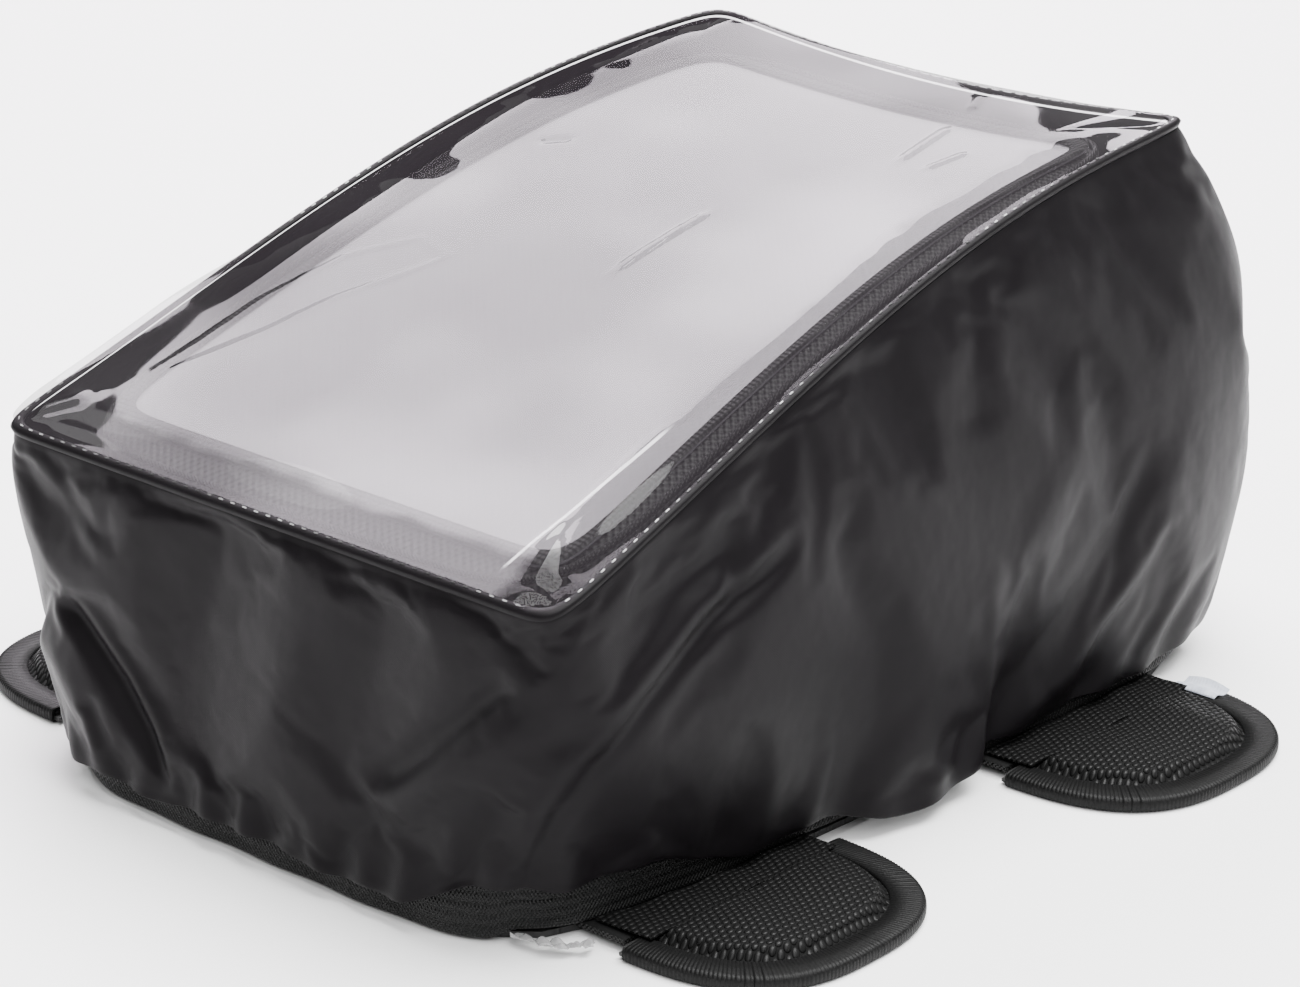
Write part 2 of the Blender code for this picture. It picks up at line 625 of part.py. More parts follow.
def build_flap(name, side, hinge_x, centre_y, mats):
    parent = pivot("flap_fold_" + name, (side * hinge_x, centre_y, FLAP_HINGE_Z))

    def place(reach, along, z):
        return side * (hinge_x + reach), centre_y + along, z

    def ring(root, inset, z):
        return [place(u, v, z) for u, v in flap_outline(root, inset)]

    edge = BINDING_WEB + GAP
    legs = BINDING_WIDTH + 2 * GAP
    crest = legs + PAD_SLOPE
    root = FLAP_SHELL_ROOT
    pad_root = root + PAD_ROOT
    crest_root = pad_root + PAD_SLOPE
    sole_low = BINDING_THICK + GAP
    sole_top = sole_low + FLAP_SKIN
    middle = FLAP_REACH / 2.0

    under = stack([ring(pad_root, legs, 0.0), ring(pad_root, legs, sole_low),
                   ring(FLAP_ROOT_GAP, edge, sole_low), ring(FLAP_ROOT_GAP, edge, sole_top)],
                  place(middle, 0.0, 0.0), place(middle, 0.0, sole_top))
    add_object("flap_underside_" + name, under, mats["flap_sole"], parent)

    seat = sole_top + GAP
    rim = FLAP_EDGE_HEIGHT - BINDING_THICK - GAP
    ceiling = FLAP_HEIGHT - FLAP_SKIN
    top = stack([ring(crest_root, crest, ceiling), ring(pad_root, legs, seat),
                 ring(root, edge, seat), ring(root, edge, rim),
                 ring(pad_root, legs, rim), ring(crest_root, crest, FLAP_HEIGHT)],
                place(middle, 0.0, ceiling), place(middle, 0.0, FLAP_HEIGHT))
    add_object("flap_top_" + name, top, mats["flap_mesh"], parent)

    tape = []
    outer = flap_outline(root, 0.0)
    web = flap_outline(root, BINDING_WEB)
    leg = flap_outline(root, BINDING_WIDTH)
    lid = FLAP_EDGE_HEIGHT
    for o, w, g in zip(outer, web, leg):
        tape.append([place(*o, 0.0), place(*o, lid), place(*g, lid),
                     place(*g, lid - BINDING_THICK), place(*w, lid - BINDING_THICK),
                     place(*w, BINDING_THICK), place(*g, BINDING_THICK), place(*g, 0.0)])
    add_object("flap_binding_" + name, sweep(tape, False), mats["binding"], parent)

    magnet_reach = crest_root + 2 * GAP + MAGNET_WIDTH / 2.0
    pad_half_width = FLAP_HALF_WIDTH - crest
    length = pad_half_width * MAGNET_LENGTH_SHARE
    for tag, shift in (("a", -0.5), ("b", 0.5)):
        along = shift * pad_half_width * MAGNET_SPACING_SHARE
        centre = place(magnet_reach, along, seat + MAGNET_THICK / 2.0)
        magnet = box(centre, (MAGNET_WIDTH, length, MAGNET_THICK), MAGNET_BEVEL)
        add_object("magnet_" + name + "_" + tag, magnet, mats["magnet"], parent)

    anchor_start = wall_side_x(centre_y + ANCHOR_HALF_WIDTH, 0.0) - BOARD_INSET + 2 * GAP
    anchor_end = hinge_x - GAP
    centre = (side * (anchor_start + anchor_end) / 2.0, centre_y, BOARD_Z + ANCHOR_THICK / 2.0)
    anchor = box(centre, (anchor_end - anchor_start, 2 * ANCHOR_HALF_WIDTH, ANCHOR_THICK), 0.0)
    add_object("flap_anchor_" + name, anchor, mats["webbing"])
    return parent


def build_label(mats, parent, hinge_x):
    """Small folded label on the rear right flap's binding."""
    z = FLAP_EDGE_HEIGHT + GAP + LABEL_THICK / 2.0
    x = hinge_x + FLAP_SHELL_ROOT + LABEL_LENGTH / 2.0
    y = FLAP_REAR_Y + FLAP_HALF_WIDTH - BINDING_WIDTH / 2.0
    label = box((x, y, z), (LABEL_LENGTH, LABEL_WIDTH, LABEL_THICK), 0.0)
    add_object("flap_label", label, mats["label"], parent)


# --- Build ---------------------------------------------------------------------------------------------
for old in list(bpy.data.objects):
    bpy.data.objects.remove(old, do_unlink=True)

MATERIALS = {
    "cover_fabric": material("cover_fabric", (0.045, 0.043, 0.045), 0.42),
    "clear_film": material("clear_film", (0.75, 0.75, 0.80), 0.08, alpha=0.35),
    "elastic": material("elastic", (0.02, 0.02, 0.02), 0.8),
    "body_fabric": material("body_fabric", (0.018, 0.018, 0.020), 0.75),
    "lid_fabric": material("lid_fabric", (0.022, 0.022, 0.026), 0.6),
    "lining": material("lining", (0.10, 0.10, 0.11), 0.8),
    "base_rubber": material("base_rubber", (0.015, 0.015, 0.015), 0.55),
    "board": material("board", (0.10, 0.10, 0.10), 0.5),
    "webbing": material("webbing", (0.016, 0.016, 0.018), 0.7),
    "zip": material("zip", (0.012, 0.012, 0.013), 0.5),
    "zip_metal": material("zip_metal", (0.30, 0.30, 0.31), 0.35, metallic=1.0),
    "pocket_film": material("pocket_film", (0.70, 0.70, 0.75), 0.12, alpha=0.4),
    "binding": material("binding", (0.014, 0.014, 0.015), 0.65),
    "flap_mesh": material("flap_mesh", (0.016, 0.016, 0.018), 0.6),
    "flap_sole": material("flap_sole", (0.020, 0.020, 0.020), 0.9),
    "magnet": material("magnet", (0.35, 0.35, 0.36), 0.4, metallic=1.0),
    "label": material("label", (0.75, 0.82, 0.90), 0.6),
}

build_base(MATERIALS)
build_walls(MATERIALS)
build_lining(MATERIALS)
build_band(MATERIALS)
build_rim(MATERIALS)
build_hinge_strip(MATERIALS)
build_handle(MATERIALS)
build_lid(MATERIALS)
for slider_side, slider_name in ((1, "right"), (-1, "left")):
    build_slider(slider_side, slider_name, MATERIALS)
build_cover(MATERIALS)

for end, flap_y, stand_off in (("front", FLAP_FRONT_Y, FLAP_FRONT_STAND_OFF),
                               ("rear", FLAP_REAR_Y, FLAP_REAR_STAND_OFF)):
    flap_x = hem_side_x(flap_y + ANCHOR_HALF_WIDTH) + stand_off
    for side_name, flap_side in (("right", 1), ("left", -1)):
        fold = build_flap(end + "_" + side_name, flap_side, flap_x, flap_y, MATERIALS)
        if (end, side_name) == ("rear", "right"):
            build_label(MATERIALS, fold, flap_x)
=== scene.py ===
"""Looks of a magnetic motorcycle tank bag that wears its rain cover.

Frame: metres, +Z up, X across the bag, the low end at -Y and the high end at +Y.
"""
import json
import math

import bmesh
import bpy
import numpy as np
from mathutils import Matrix, Vector

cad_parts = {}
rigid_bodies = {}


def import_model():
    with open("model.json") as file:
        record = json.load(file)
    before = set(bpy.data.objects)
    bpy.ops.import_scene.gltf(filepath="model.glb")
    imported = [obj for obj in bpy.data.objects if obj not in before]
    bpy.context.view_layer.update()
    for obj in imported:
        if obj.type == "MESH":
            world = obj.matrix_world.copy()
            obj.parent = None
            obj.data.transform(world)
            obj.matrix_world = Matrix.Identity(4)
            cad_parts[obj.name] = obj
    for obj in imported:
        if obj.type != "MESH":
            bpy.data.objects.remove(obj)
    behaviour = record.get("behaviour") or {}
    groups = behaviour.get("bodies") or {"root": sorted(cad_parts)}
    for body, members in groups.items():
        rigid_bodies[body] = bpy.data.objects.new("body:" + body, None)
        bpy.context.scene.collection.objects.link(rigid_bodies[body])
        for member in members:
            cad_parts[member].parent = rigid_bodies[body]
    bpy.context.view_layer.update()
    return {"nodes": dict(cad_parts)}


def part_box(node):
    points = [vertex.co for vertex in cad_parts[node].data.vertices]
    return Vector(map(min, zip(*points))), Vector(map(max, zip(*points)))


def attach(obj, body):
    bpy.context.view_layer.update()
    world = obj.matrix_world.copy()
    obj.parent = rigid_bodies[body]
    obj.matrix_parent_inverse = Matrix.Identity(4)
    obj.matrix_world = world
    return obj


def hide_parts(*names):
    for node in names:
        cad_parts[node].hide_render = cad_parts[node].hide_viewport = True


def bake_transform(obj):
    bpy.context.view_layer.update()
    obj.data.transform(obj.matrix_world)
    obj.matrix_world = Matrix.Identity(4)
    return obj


for leftover in list(bpy.data.objects):
    bpy.data.objects.remove(leftover)
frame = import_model()
nodes = frame["nodes"]


# --- Base panel and stiffening board ----------------------------------------------
# The bag stands on a moulded rubber panel with a dimpled underside, glued and sewn
# to the foot of its walls.  A grey plastic board lies on it, loose inside the bag.
class Value:
    """A node's output in Python arithmetic: each operation adds one Math node."""

    def __init__(self, finish, socket):
        self.finish = finish
        self.socket = socket

    def math(self, operation, *others):
        return self.finish.node("ShaderNodeMath", {"operation": operation},
                                dict(enumerate((self, *others))))

    def __add__(self, other):
        return self.math("ADD", other)

    __radd__ = __add__

    def __sub__(self, other):
        return self.math("SUBTRACT", other)

    def __rsub__(self, other):
        return self.math("MULTIPLY", -1.0) + other

    def __mul__(self, other):
        return self.math("MULTIPLY", other)

    __rmul__ = __mul__

    def sine(self, pitch):
        """-1 to 1 and back once for each pitch of length."""
        return (self * (2.0 * math.pi / pitch)).math("SINE")

    def held(self, low, high):
        """0 below low, 1 above high, and smooth between them."""
        return self.finish.node("ShaderNodeMapRange", {"interpolation_type": "SMOOTHSTEP"},
                                {0: self, 1: low, 2: high, 3: 0.0, 4: 1.0})


class Finish:
    """A Principled material; constants go on its own sockets, nodes on what varies."""

    def __init__(self, name, roughness, **constants):
        self.material = bpy.data.materials.new(name)
        self.material.use_nodes = True
        self.tree = self.material.node_tree
        self.shader = self.tree.nodes["Principled BSDF"]
        self.shader.inputs["Roughness"].default_value = roughness
        for socket, value in constants.items():
            self.shader.inputs[socket.replace("_", " ")].default_value = value
        self.place = self.node("ShaderNodeTexCoord", output=3)
        self.x, self.y, self.z = (self.node("ShaderNodeSeparateXYZ", values={0: self.place},
                                            output=axis) for axis in range(3))

    def node(self, kind, settings=None, values=None, output=0):
        made = self.tree.nodes.new(kind)
        for name, value in (settings or {}).items():
            setattr(made, name, value)
        for key, value in (values or {}).items():
            if isinstance(value, Value):
                self.tree.links.new(value.socket, made.inputs[key])
            else:
                made.inputs[key].default_value = value
        return Value(self, made.outputs[output])

    def noise(self, size, detail=3.0):
        """Soft blotches of about that size, 0 to 1."""
        return self.node("ShaderNodeTexNoise", {},
                         {"Vector": self.place, "Scale": 1.0 / size, "Detail": detail})

    def tint(self, amount, low, high):
        """Colour from low to high as amount goes from 0 to 1."""
        return self.node("ShaderNodeMix", {"data_type": "RGBA"},
                         {0: amount, 6: (*low, 1.0), 7: (*high, 1.0)}, output=2)

    def drive(self, socket, value):
        self.tree.links.new(value.socket, self.shader.inputs[socket])

    def mottle(self, size, low, high):
        """Base colour that wanders between two colours, in blotches of about that size."""
        self.drive("Base Color", self.tint(self.noise(size), low, high))

    def relief(self, height, depth):
        """Raises the surface by depth where height is 1."""
        self.drive("Normal", self.node("ShaderNodeBump", {},
                                       {"Height": height, "Distance": depth, "Strength": 1.0}))

    def weave(self, across, along, pitch):
        """Plain weave: threads over and under each other, -1 to 1."""
        return across.sine(pitch) * along.sine(pitch)


def grey(level):
    return (level, level, level)


def dress(finish, *names):
    """Puts a finish on CAD nodes that keep their shape."""
    for name in names:
        for place in nodes[name].material_slots:
            place.material = finish.material


rubber = Finish("rubber", 0.7, Specular_IOR_Level=0.4)
dimple = rubber.x.sine(0.006) * rubber.y.sine(0.006)
rubber.mottle(0.012, grey(0.012), grey(0.028))
rubber.drive("Roughness", rubber.noise(0.004) * 0.25 + 0.6)
rubber.relief(dimple.held(0.2, 0.9), 0.0006)
dress(rubber, "base_panel")

board_plastic = Finish("board_plastic", 0.5)
board_plastic.mottle(0.02, grey(0.06), grey(0.09))
board_plastic.relief(board_plastic.noise(0.0015), 0.0002)
dress(board_plastic, "base_board")


# --- Padded walls and lining ------------------------------------------------------
# Four panels of black ballistic nylon over foam, sewn to each other at the corners
# and to the base, with a thin grey lining sewn in as a tub behind them.
WINDOW_FRONT_Y = -0.1695
WINDOW_REAR_Y = 0.1465
WINDOW_HALF_FRONT = 0.116
WINDOW_HALF_REAR = 0.100
HEIGHT_FRONT = 0.109
HEIGHT_REAR = 0.180
WINDOW_DOME = 0.015
DOME_SKEW = 1.3
REAR_SAG = 0.007
HEM_FRONT_Y = -0.1775
HEM_REAR_Y = 0.1645
HEM_HALF_FRONT = 0.113
HEM_HALF_REAR = 0.127
RIM_POWER = 8.0               # squareness of the plan outline at the zip
HEM_POWER = 6.0               # and at the foot, where the corners are rounder
BASE_INSET = 0.0062
RIM_INSET = 0.0115
RIM_FRONT_INSET = 0.0125
WALL_FOOT_Z = 0.0046
RIM_DROP = 0.0287
WALL_THICK = 0.0055
WALL_PUFF = 0.0016            # how far the foam swells between the seams
GAP = 0.0003


def mix(a, b, t):
    return a + (b - a) * t


def smooth(t):
    """0 to 1, eased at both ends."""
    held = np.clip(t, 0.0, 1.0)
    return held * held * (3.0 - 2.0 * held)


def top_height(x, y):
    """Height of the cover's film in the frame, without its own creases."""
    held = np.clip((y - WINDOW_FRONT_Y) / (WINDOW_REAR_Y - WINDOW_FRONT_Y), 0.0, 1.0)
    edge = mix(HEIGHT_FRONT, HEIGHT_REAR, held) + WINDOW_DOME * np.sin(np.pi * held ** DOME_SKEW)
    half = mix(WINDOW_HALF_FRONT, WINDOW_HALF_REAR, held)
    across = np.minimum(np.abs(x) / half, 1.0)
    return edge - REAR_SAG * held ** 2 * (1.0 - across ** 2)


def outline(count, power, half_front, half_rear, y_front, y_rear):
    """Points round the tapered plan outline, from the low right corner towards the high
    end, evenly spaced along each side."""
    angle = np.radians(np.linspace(-45.0, 315.0, 4 * 360 + 1))
    c, s = np.cos(angle), np.sin(angle)
    radius = (np.abs(c) ** power + np.abs(s) ** power) ** (-1.0 / power)
    t = (s * radius + 1.0) / 2.0
    x = c * radius * mix(half_front, half_rear, t)
    y = mix(y_front, y_rear, t)
    run = np.concatenate(([0.0], np.cumsum(np.hypot(np.diff(x), np.diff(y)))))
    corners = run[::360]
    side = count // 4
    wanted = np.concatenate([np.linspace(a, b, side, endpoint=False)
                             for a, b in zip(corners, corners[1:])])
    return np.stack((np.interp(wanted, run, x), np.interp(wanted, run, y)), axis=1)


def rim_ring(count, power, inset):
    """The zip rim's outline, or one with other corners or further in."""
    return outline(count, power, WINDOW_HALF_FRONT - RIM_INSET - inset,
                   WINDOW_HALF_REAR - RIM_INSET - inset,
                   WINDOW_FRONT_Y + RIM_FRONT_INSET + inset, WINDOW_REAR_Y - RIM_INSET - inset)


def wall_ring(count, rise, inset):
    """The wall face's outline: rise 0 is the base, 1 the zip rim."""
    foot = outline(count, HEM_POWER, HEM_HALF_FRONT - BASE_INSET - inset,
                   HEM_HALF_REAR - BASE_INSET - inset, HEM_FRONT_Y + BASE_INSET + inset,
                   HEM_REAR_Y - BASE_INSET - inset)
    return mix(foot, rim_ring(count, RIM_POWER, inset), np.reshape(rise, (-1, 1))).T


def add_piece(name, points, faces, sharp_deg=50.0):
    """Mesh object with smooth shading, sharp only over sharp_deg."""
    mesh = bpy.data.meshes.new(name)
    mesh.from_pydata(points.tolist(), [], faces)
    builder = bmesh.new()
    builder.from_mesh(mesh)
    bmesh.ops.recalc_face_normals(builder, faces=builder.faces)
    builder.to_mesh(mesh)
    builder.free()
    mesh.shade_smooth()
    mesh.set_sharp_from_angle(angle=math.radians(sharp_deg))
    piece = bpy.data.objects.new(name, mesh)
    bpy.context.scene.collection.objects.link(piece)
    return piece


def quads(grid):
    """Faces between neighbours in a grid of point numbers."""
    corners = (grid[:-1, :-1], grid[1:, :-1], grid[1:, 1:], grid[:-1, 1:])
    return np.stack([part.reshape(-1) for part in corners], axis=1)


def shell(name, outer, inner, ring=False, sharp_deg=50.0):
    """Closed body between two matching grids of points; ring joins its first and last row."""
    rows, columns = outer.shape[:2]
    points = np.concatenate((outer.reshape(-1, 3), inner.reshape(-1, 3)))
    near = np.arange(rows * columns).reshape(rows, columns)
    if ring:
        near = np.concatenate((near, near[:1]))
    far = near + rows * columns
    faces = [quads(near), quads(far)]
    faces += [quads(np.stack((near[:, k], far[:, k]), axis=1)) for k in (0, -1)]
    if not ring:
        faces += [quads(np.stack((near[k], far[k]), axis=1)) for k in (0, -1)]
    return add_piece(name, points, np.concatenate(faces).tolist(), sharp_deg)


def sweep(name, sections, closed, sharp_deg=50.0):
    """Body through matching closed cross-sections; an open one gets flat ends."""
    count, size = sections.shape[:2]
    grid = np.arange(count * size).reshape(count, size)
    grid = np.concatenate((grid, grid[:, :1]), axis=1)
    if closed:
        grid = np.concatenate((grid, grid[:1]))
    faces = quads(grid).tolist()
    if not closed:
        faces += [list(range(size)), list(range((count - 1) * size, count * size))]
    return add_piece(name, sections.reshape(-1, 3), faces, sharp_deg)


def finish_piece(piece, finish, body, stands_for=()):
    """Material, body, material slot and the CAD nodes that the piece stands for."""
    piece.data.materials.append(finish.material)
    if body:
        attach(piece, body)
    if stands_for:
        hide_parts(*stands_for)
    return piece


ballistic = Finish("ballistic_nylon", 0.6, Specular_IOR_Level=0.2)
threads = ballistic.weave(ballistic.x + ballistic.y, ballistic.z, 0.0024)
ballistic.drive("Base Color", ballistic.tint(threads.held(-0.8, 0.9), grey(0.006), grey(0.022)))
ballistic.drive("Roughness", threads * 0.08 + 0.58)
ballistic.relief(threads, 0.0003)

WALL_COLUMNS = 40
WALL_ROWS = 26
SEAM_ROLL = 0.0012            # the padding rolls in beside each seam
side_points = 4 * WALL_COLUMNS
rim_x, rim_y = wall_ring(side_points, 1.0, 0.0)
rim_z = top_height(rim_x, rim_y) - RIM_DROP
share = np.linspace(-1.0, 1.0, WALL_COLUMNS + 1)
for number, name in enumerate(("right_wall", "rear_wall", "left_wall", "front_wall")):
    columns = (np.arange(WALL_COLUMNS + 1) + number * WALL_COLUMNS) % side_points
    out_axis = number % 2
    faces = []
    for inset, puff in ((0.0, WALL_PUFF), (WALL_THICK, 0.0)):
        grid = np.zeros((WALL_COLUMNS + 1, WALL_ROWS, 3))
        for row, rise in enumerate(np.linspace(0.0, 1.0, WALL_ROWS)):
            ring = wall_ring(side_points, rise, inset).T[columns]
            swell = (1.0 - share ** 6) * (1.0 - (2.0 * rise - 1.0) ** 6)
            push = puff * swell - (SEAM_ROLL * share ** 40 if puff else 0.0)
            ring[:, out_axis] += push * np.sign(ring[:, out_axis])
            ring[:, 1 - out_axis] -= GAP * share ** 31 * np.sign(ring[-1, 1 - out_axis])
            grid[:, row, :2] = ring
            grid[:, row, 2] = mix(WALL_FOOT_Z, rim_z[columns], rise)
        faces.append(grid)
    wall = shell(name + "_padded", *faces)
    finish_piece(wall, ballistic, "bag", (name,))

LINING_THICK = 0.0008
lining_cloth = Finish("lining_cloth", 0.75)
fine = lining_cloth.weave(lining_cloth.x + lining_cloth.y, lining_cloth.z, 0.0009)
lining_cloth.drive("Base Color", lining_cloth.tint(fine.held(-1.0, 1.0), grey(0.05), grey(0.09)))
lining_cloth.relief(fine, 0.00015)
loops = []
for inset, order in ((WALL_THICK + GAP, (0.0, 1.0)), (WALL_THICK + GAP + LINING_THICK, (1.0, 0.0))):
    for rise in np.linspace(*order, 12):
        x, y = wall_ring(side_points, rise, inset)
        foot = WALL_FOOT_Z + (LINING_THICK if order[0] else 0.0)
        sag = 0.0004 * np.sin(40.0 * rise) * rise * (1.0 - rise)
        loops.append(np.stack((x * (1.0 - sag), y, mix(foot, rim_z, rise)), axis=1))
points = np.concatenate(loops)
grid = np.arange(len(points)).reshape(len(loops), side_points)
faces = quads(np.concatenate((grid, grid[:, :1]), axis=1)).tolist()
faces += [grid[0].tolist(), grid[-1].tolist()]
lining = add_piece("lining_tub", points, faces)
finish_piece(lining, lining_cloth, "bag", ("lining",))


# --- Webbing band, grab handle and hinge strip ------------------------------------
# Ribbed polypropylene webbing is stitched flat round the foot of the walls.  A strap of
# it across the high end is the grab handle, and a short strip is the lid's cloth hinge.
BAND_HEIGHT = 0.027
BAND_THICK = 0.0013
BAND_FOOT_Z = 0.0010
BAND_SIDE_FOOT_Z = 0.0043     # where the flaps' anchors pass under it
RIB_PITCH = 0.0034
RIB_DEPTH = 0.0006
RIB_POINTS = 6


def ribs(position, pitch):
    """0 in the groove between two ribs and 1 on a rib's crown."""
    return np.sqrt(np.clip(1.0 - (2.0 * ((position / pitch) % 1.0) - 1.0) ** 2, 0.0, 1.0))


webbing = Finish("webbing", 0.55, Specular_IOR_Level=0.22)
cross = webbing.weave(webbing.x + webbing.y, webbing.z, 0.0016)
webbing.drive("Base Color", webbing.tint(cross.held(-1.0, 1.0), grey(0.003), grey(0.010)))
webbing.drive("Roughness", cross * 0.08 + 0.5)
webbing.relief(cross, 0.00025)

band_columns = 480
band_rows = int(BAND_HEIGHT / RIB_PITCH * RIB_POINTS)
ring_x, _ = wall_ring(band_columns, 0.0, 0.0)
rim_ring_x, rim_ring_y = wall_ring(band_columns, 1.0, 0.0)
band_rim_z = top_height(rim_ring_x, rim_ring_y) - RIM_DROP
on_side = smooth((np.abs(ring_x) - 0.084) / 0.008)
foot_z = mix(BAND_FOOT_Z, BAND_SIDE_FOOT_Z, on_side)
outer, inner = np.zeros((2, band_columns, band_rows, 3))
turn = np.arange(band_columns) / band_columns * 2.0 * np.pi
for row, share in enumerate(np.linspace(0.0, 1.0, band_rows)):
    z = mix(foot_z, BAND_FOOT_Z + BAND_HEIGHT, share)
    rise = np.maximum((z - WALL_FOOT_Z) / (band_rim_z - WALL_FOOT_Z), 0.0)
    wave = 0.0004 * np.sin(turn * 23.0 + 3.0 * share) + 0.0004
    proud = BAND_THICK - RIB_DEPTH * (1.0 - ribs(share * BAND_HEIGHT + 0.0002, RIB_PITCH)) + wave
    near = wall_ring(band_columns, rise, -GAP)
    step = wall_ring(band_columns, rise, -GAP - 0.001) - near
    inner[:, row] = np.stack((*near, z), axis=1)
    outer[:, row] = np.stack((*(near + step * proud * 1000.0), z), axis=1)
band = shell("base_band_webbing", outer, inner, ring=True, sharp_deg=80.0)
finish_piece(band, webbing, "bag", ("base_band",))

STRAP_WIDTH = 0.025
STRAP_THICK = 0.0024
STRAP_RIB_PITCH = 0.0025
STRAP_BOW = 0.0022            # how far its middle stands off the wall
STRAP_DEPTH = 0.0052          # thickness, bow and clearance together
box_low, box_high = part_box("carry_handle")
strap_columns = 160
strap_rows = 45
outer, inner = np.zeros((2, strap_columns, strap_rows, 3))
share = np.linspace(0.0, 1.0, strap_rows)
rib = 0.0005 * (1.0 - ribs(share * STRAP_WIDTH, STRAP_RIB_PITCH))
z = mix(box_low[2], box_high[2], share)
for column, t in enumerate(np.linspace(0.0, 1.0, strap_columns)):
    stitched = 0.0004 * smooth((abs(2.0 * t - 1.0) - 0.8) / 0.05)
    y = mix(box_high[1] - STRAP_DEPTH, box_low[1], share) + STRAP_BOW * math.sin(math.pi * t)
    x = np.full(strap_rows, mix(box_low[0], box_high[0], t))
    outer[column] = np.stack((x, y + STRAP_THICK - rib - stitched, z), axis=1)
    inner[column] = np.stack((x, y, z), axis=1)
handle = shell("carry_handle_strap", outer, inner, sharp_deg=80.0)
finish_piece(handle, webbing, "bag", ("carry_handle",))
dress(webbing, "lid_hinge_strip", "flap_anchor_front_right", "flap_anchor_front_left",
      "flap_anchor_rear_right", "flap_anchor_rear_left")


# --- Zip --------------------------------------------------------------------------
# Nylon tape is sewn to the walls' rim and to the lid's gusset, each with its own row of
# moulded teeth on the outside.  Two die-cast sliders carry soft webbing pulls.
ZIP_TAPE_HEIGHT = 0.004
TEETH_STOP_DEG = 62.0         # how far round from the high end the teeth stop
RIM_POINTS = 1200
TOOTH_PITCH = 0.0022
TOOTH_SIZE = (0.0012, 0.0009, 0.0026)    # along, out and up

zip_tape = Finish("zip_tape", 0.6)
zip_tape.mottle(0.002, grey(0.008), grey(0.02))
zip_tape.relief(zip_tape.weave(zip_tape.x + zip_tape.y, zip_tape.z, 0.0008), 0.0001)
dress(zip_tape, "body_zip_tape", "lid_zip_tape")

teeth_plastic = Finish("teeth_plastic", 0.35)
teeth_plastic.mottle(0.003, grey(0.01), grey(0.025))

slider_metal = Finish("slider_metal", 0.35, Metallic=1.0)
slider_metal.mottle(0.004, grey(0.05), grey(0.12))
slider_metal.drive("Roughness", slider_metal.noise(0.002) * 0.25 + 0.3)
slider_metal.relief(slider_metal.noise(0.0006), 0.00005)
dress(slider_metal, "zip_slider_right", "zip_slider_left")
dress(webbing, "zip_pull_right", "zip_pull_left")


def scatter(name, places, along, outward, size):
    """One mesh of rounded blocks, each centred on a place with its own directions."""
    block = bmesh.new()
    bmesh.ops.create_cube(block, size=1.0)
    bmesh.ops.scale(block, vec=size, verts=block.verts)
    bmesh.ops.bevel(block, geom=block.edges[:], offset=min(size) * 0.3, segments=1,
                    profile=0.5, affect="EDGES")
    corners = np.array([corner.co for corner in block.verts])
    loops = [[corner.index for corner in face.verts] for face in block.faces]
    block.free()
    up = np.cross(along, outward)
    turned = (corners[None, :, 0, None] * along[:, None, :]
              + corners[None, :, 1, None] * outward[:, None, :]
              + corners[None, :, 2, None] * up[:, None, :] + places[:, None, :])
    count = len(corners)
    faces = [[k + i * count for k in loop] for i in range(len(places)) for loop in loops]
    return add_piece(name, turned.reshape(-1, 3), faces)


def evenly(line, pitch):
    """Places, directions along, at even spacing on an open line of points."""
    run = np.concatenate(([0.0], np.cumsum(np.linalg.norm(np.diff(line, axis=0), axis=1))))
    wanted = np.arange(pitch, run[-1] - pitch, pitch)
    places, ahead = (np.stack([np.interp(at, run, line[:, k]) for k in range(3)], axis=1)
                     for at in (wanted, wanted + 0.0005))
    along = ahead - places
    return places, along / np.linalg.norm(along, axis=1, keepdims=True)


def sideways(along):
    """Level direction out of the bag, square to a line that runs anticlockwise round it."""
    out = np.stack((along[:, 1], -along[:, 0], 0.0 * along[:, 0]), axis=1)
    return out / np.linalg.norm(out, axis=1, keepdims=True)


# the zip runs round the low end, from one stop by the high end to the other
fine_x, fine_y = wall_ring(RIM_POINTS, 1.0, 0.0)
along_rim = (fine_y - WINDOW_FRONT_Y - RIM_FRONT_INSET) / (
    WINDOW_REAR_Y - RIM_INSET - WINDOW_FRONT_Y - RIM_FRONT_INSET)
half = mix(WINDOW_HALF_FRONT - RIM_INSET, WINDOW_HALF_REAR - RIM_INSET, along_rim)
turn = np.degrees(np.arctan2(2.0 * along_rim - 1.0, fine_x / half))
from_rear = np.abs((turn + 90.0) % 360.0 - 180.0)
start = int(np.argmax((from_rear > TEETH_STOP_DEG) & (fine_x < 0.0) & (fine_y > 0.0)))
zipped = np.roll(np.arange(RIM_POINTS), -start)
zipped = zipped[from_rear[zipped] > TEETH_STOP_DEG]
for name, body, drop in (("zip_teeth_body", "bag", RIM_DROP - ZIP_TAPE_HEIGHT + 0.0018),
                         ("zip_teeth_lid", "lid", RIM_DROP - ZIP_TAPE_HEIGHT - 0.0022)):
    line = np.stack((fine_x, fine_y, top_height(fine_x, fine_y) - drop), axis=1)[zipped]
    places, along = evenly(line, TOOTH_PITCH)
    out = sideways(along)
    teeth = scatter(name, places + out * TOOTH_SIZE[1] * 0.4, along, out, TOOTH_SIZE)
    finish_piece(teeth, teeth_plastic, body)


# --- Lid, its gusset and the map pocket -------------------------------------------
# A foam-padded panel of ballistic nylon with a piped edge and a short gusset.  A clear
# vinyl map pocket, bound with black tape and an overlocked edge, lies on top of it.
LID_DROP = 0.005
LID_THICK = 0.0055
GUSSET_HEIGHT = 0.009
GUSSET_THICK = 0.0028
POCKET_SHARE = 0.93
POCKET_EDGE_SHARE = 0.89
POCKET_POWER = 20.0
POCKET_FILM_THICK = 0.0006
MIDDLE_Y = (WINDOW_FRONT_Y + WINDOW_REAR_Y) / 2.0


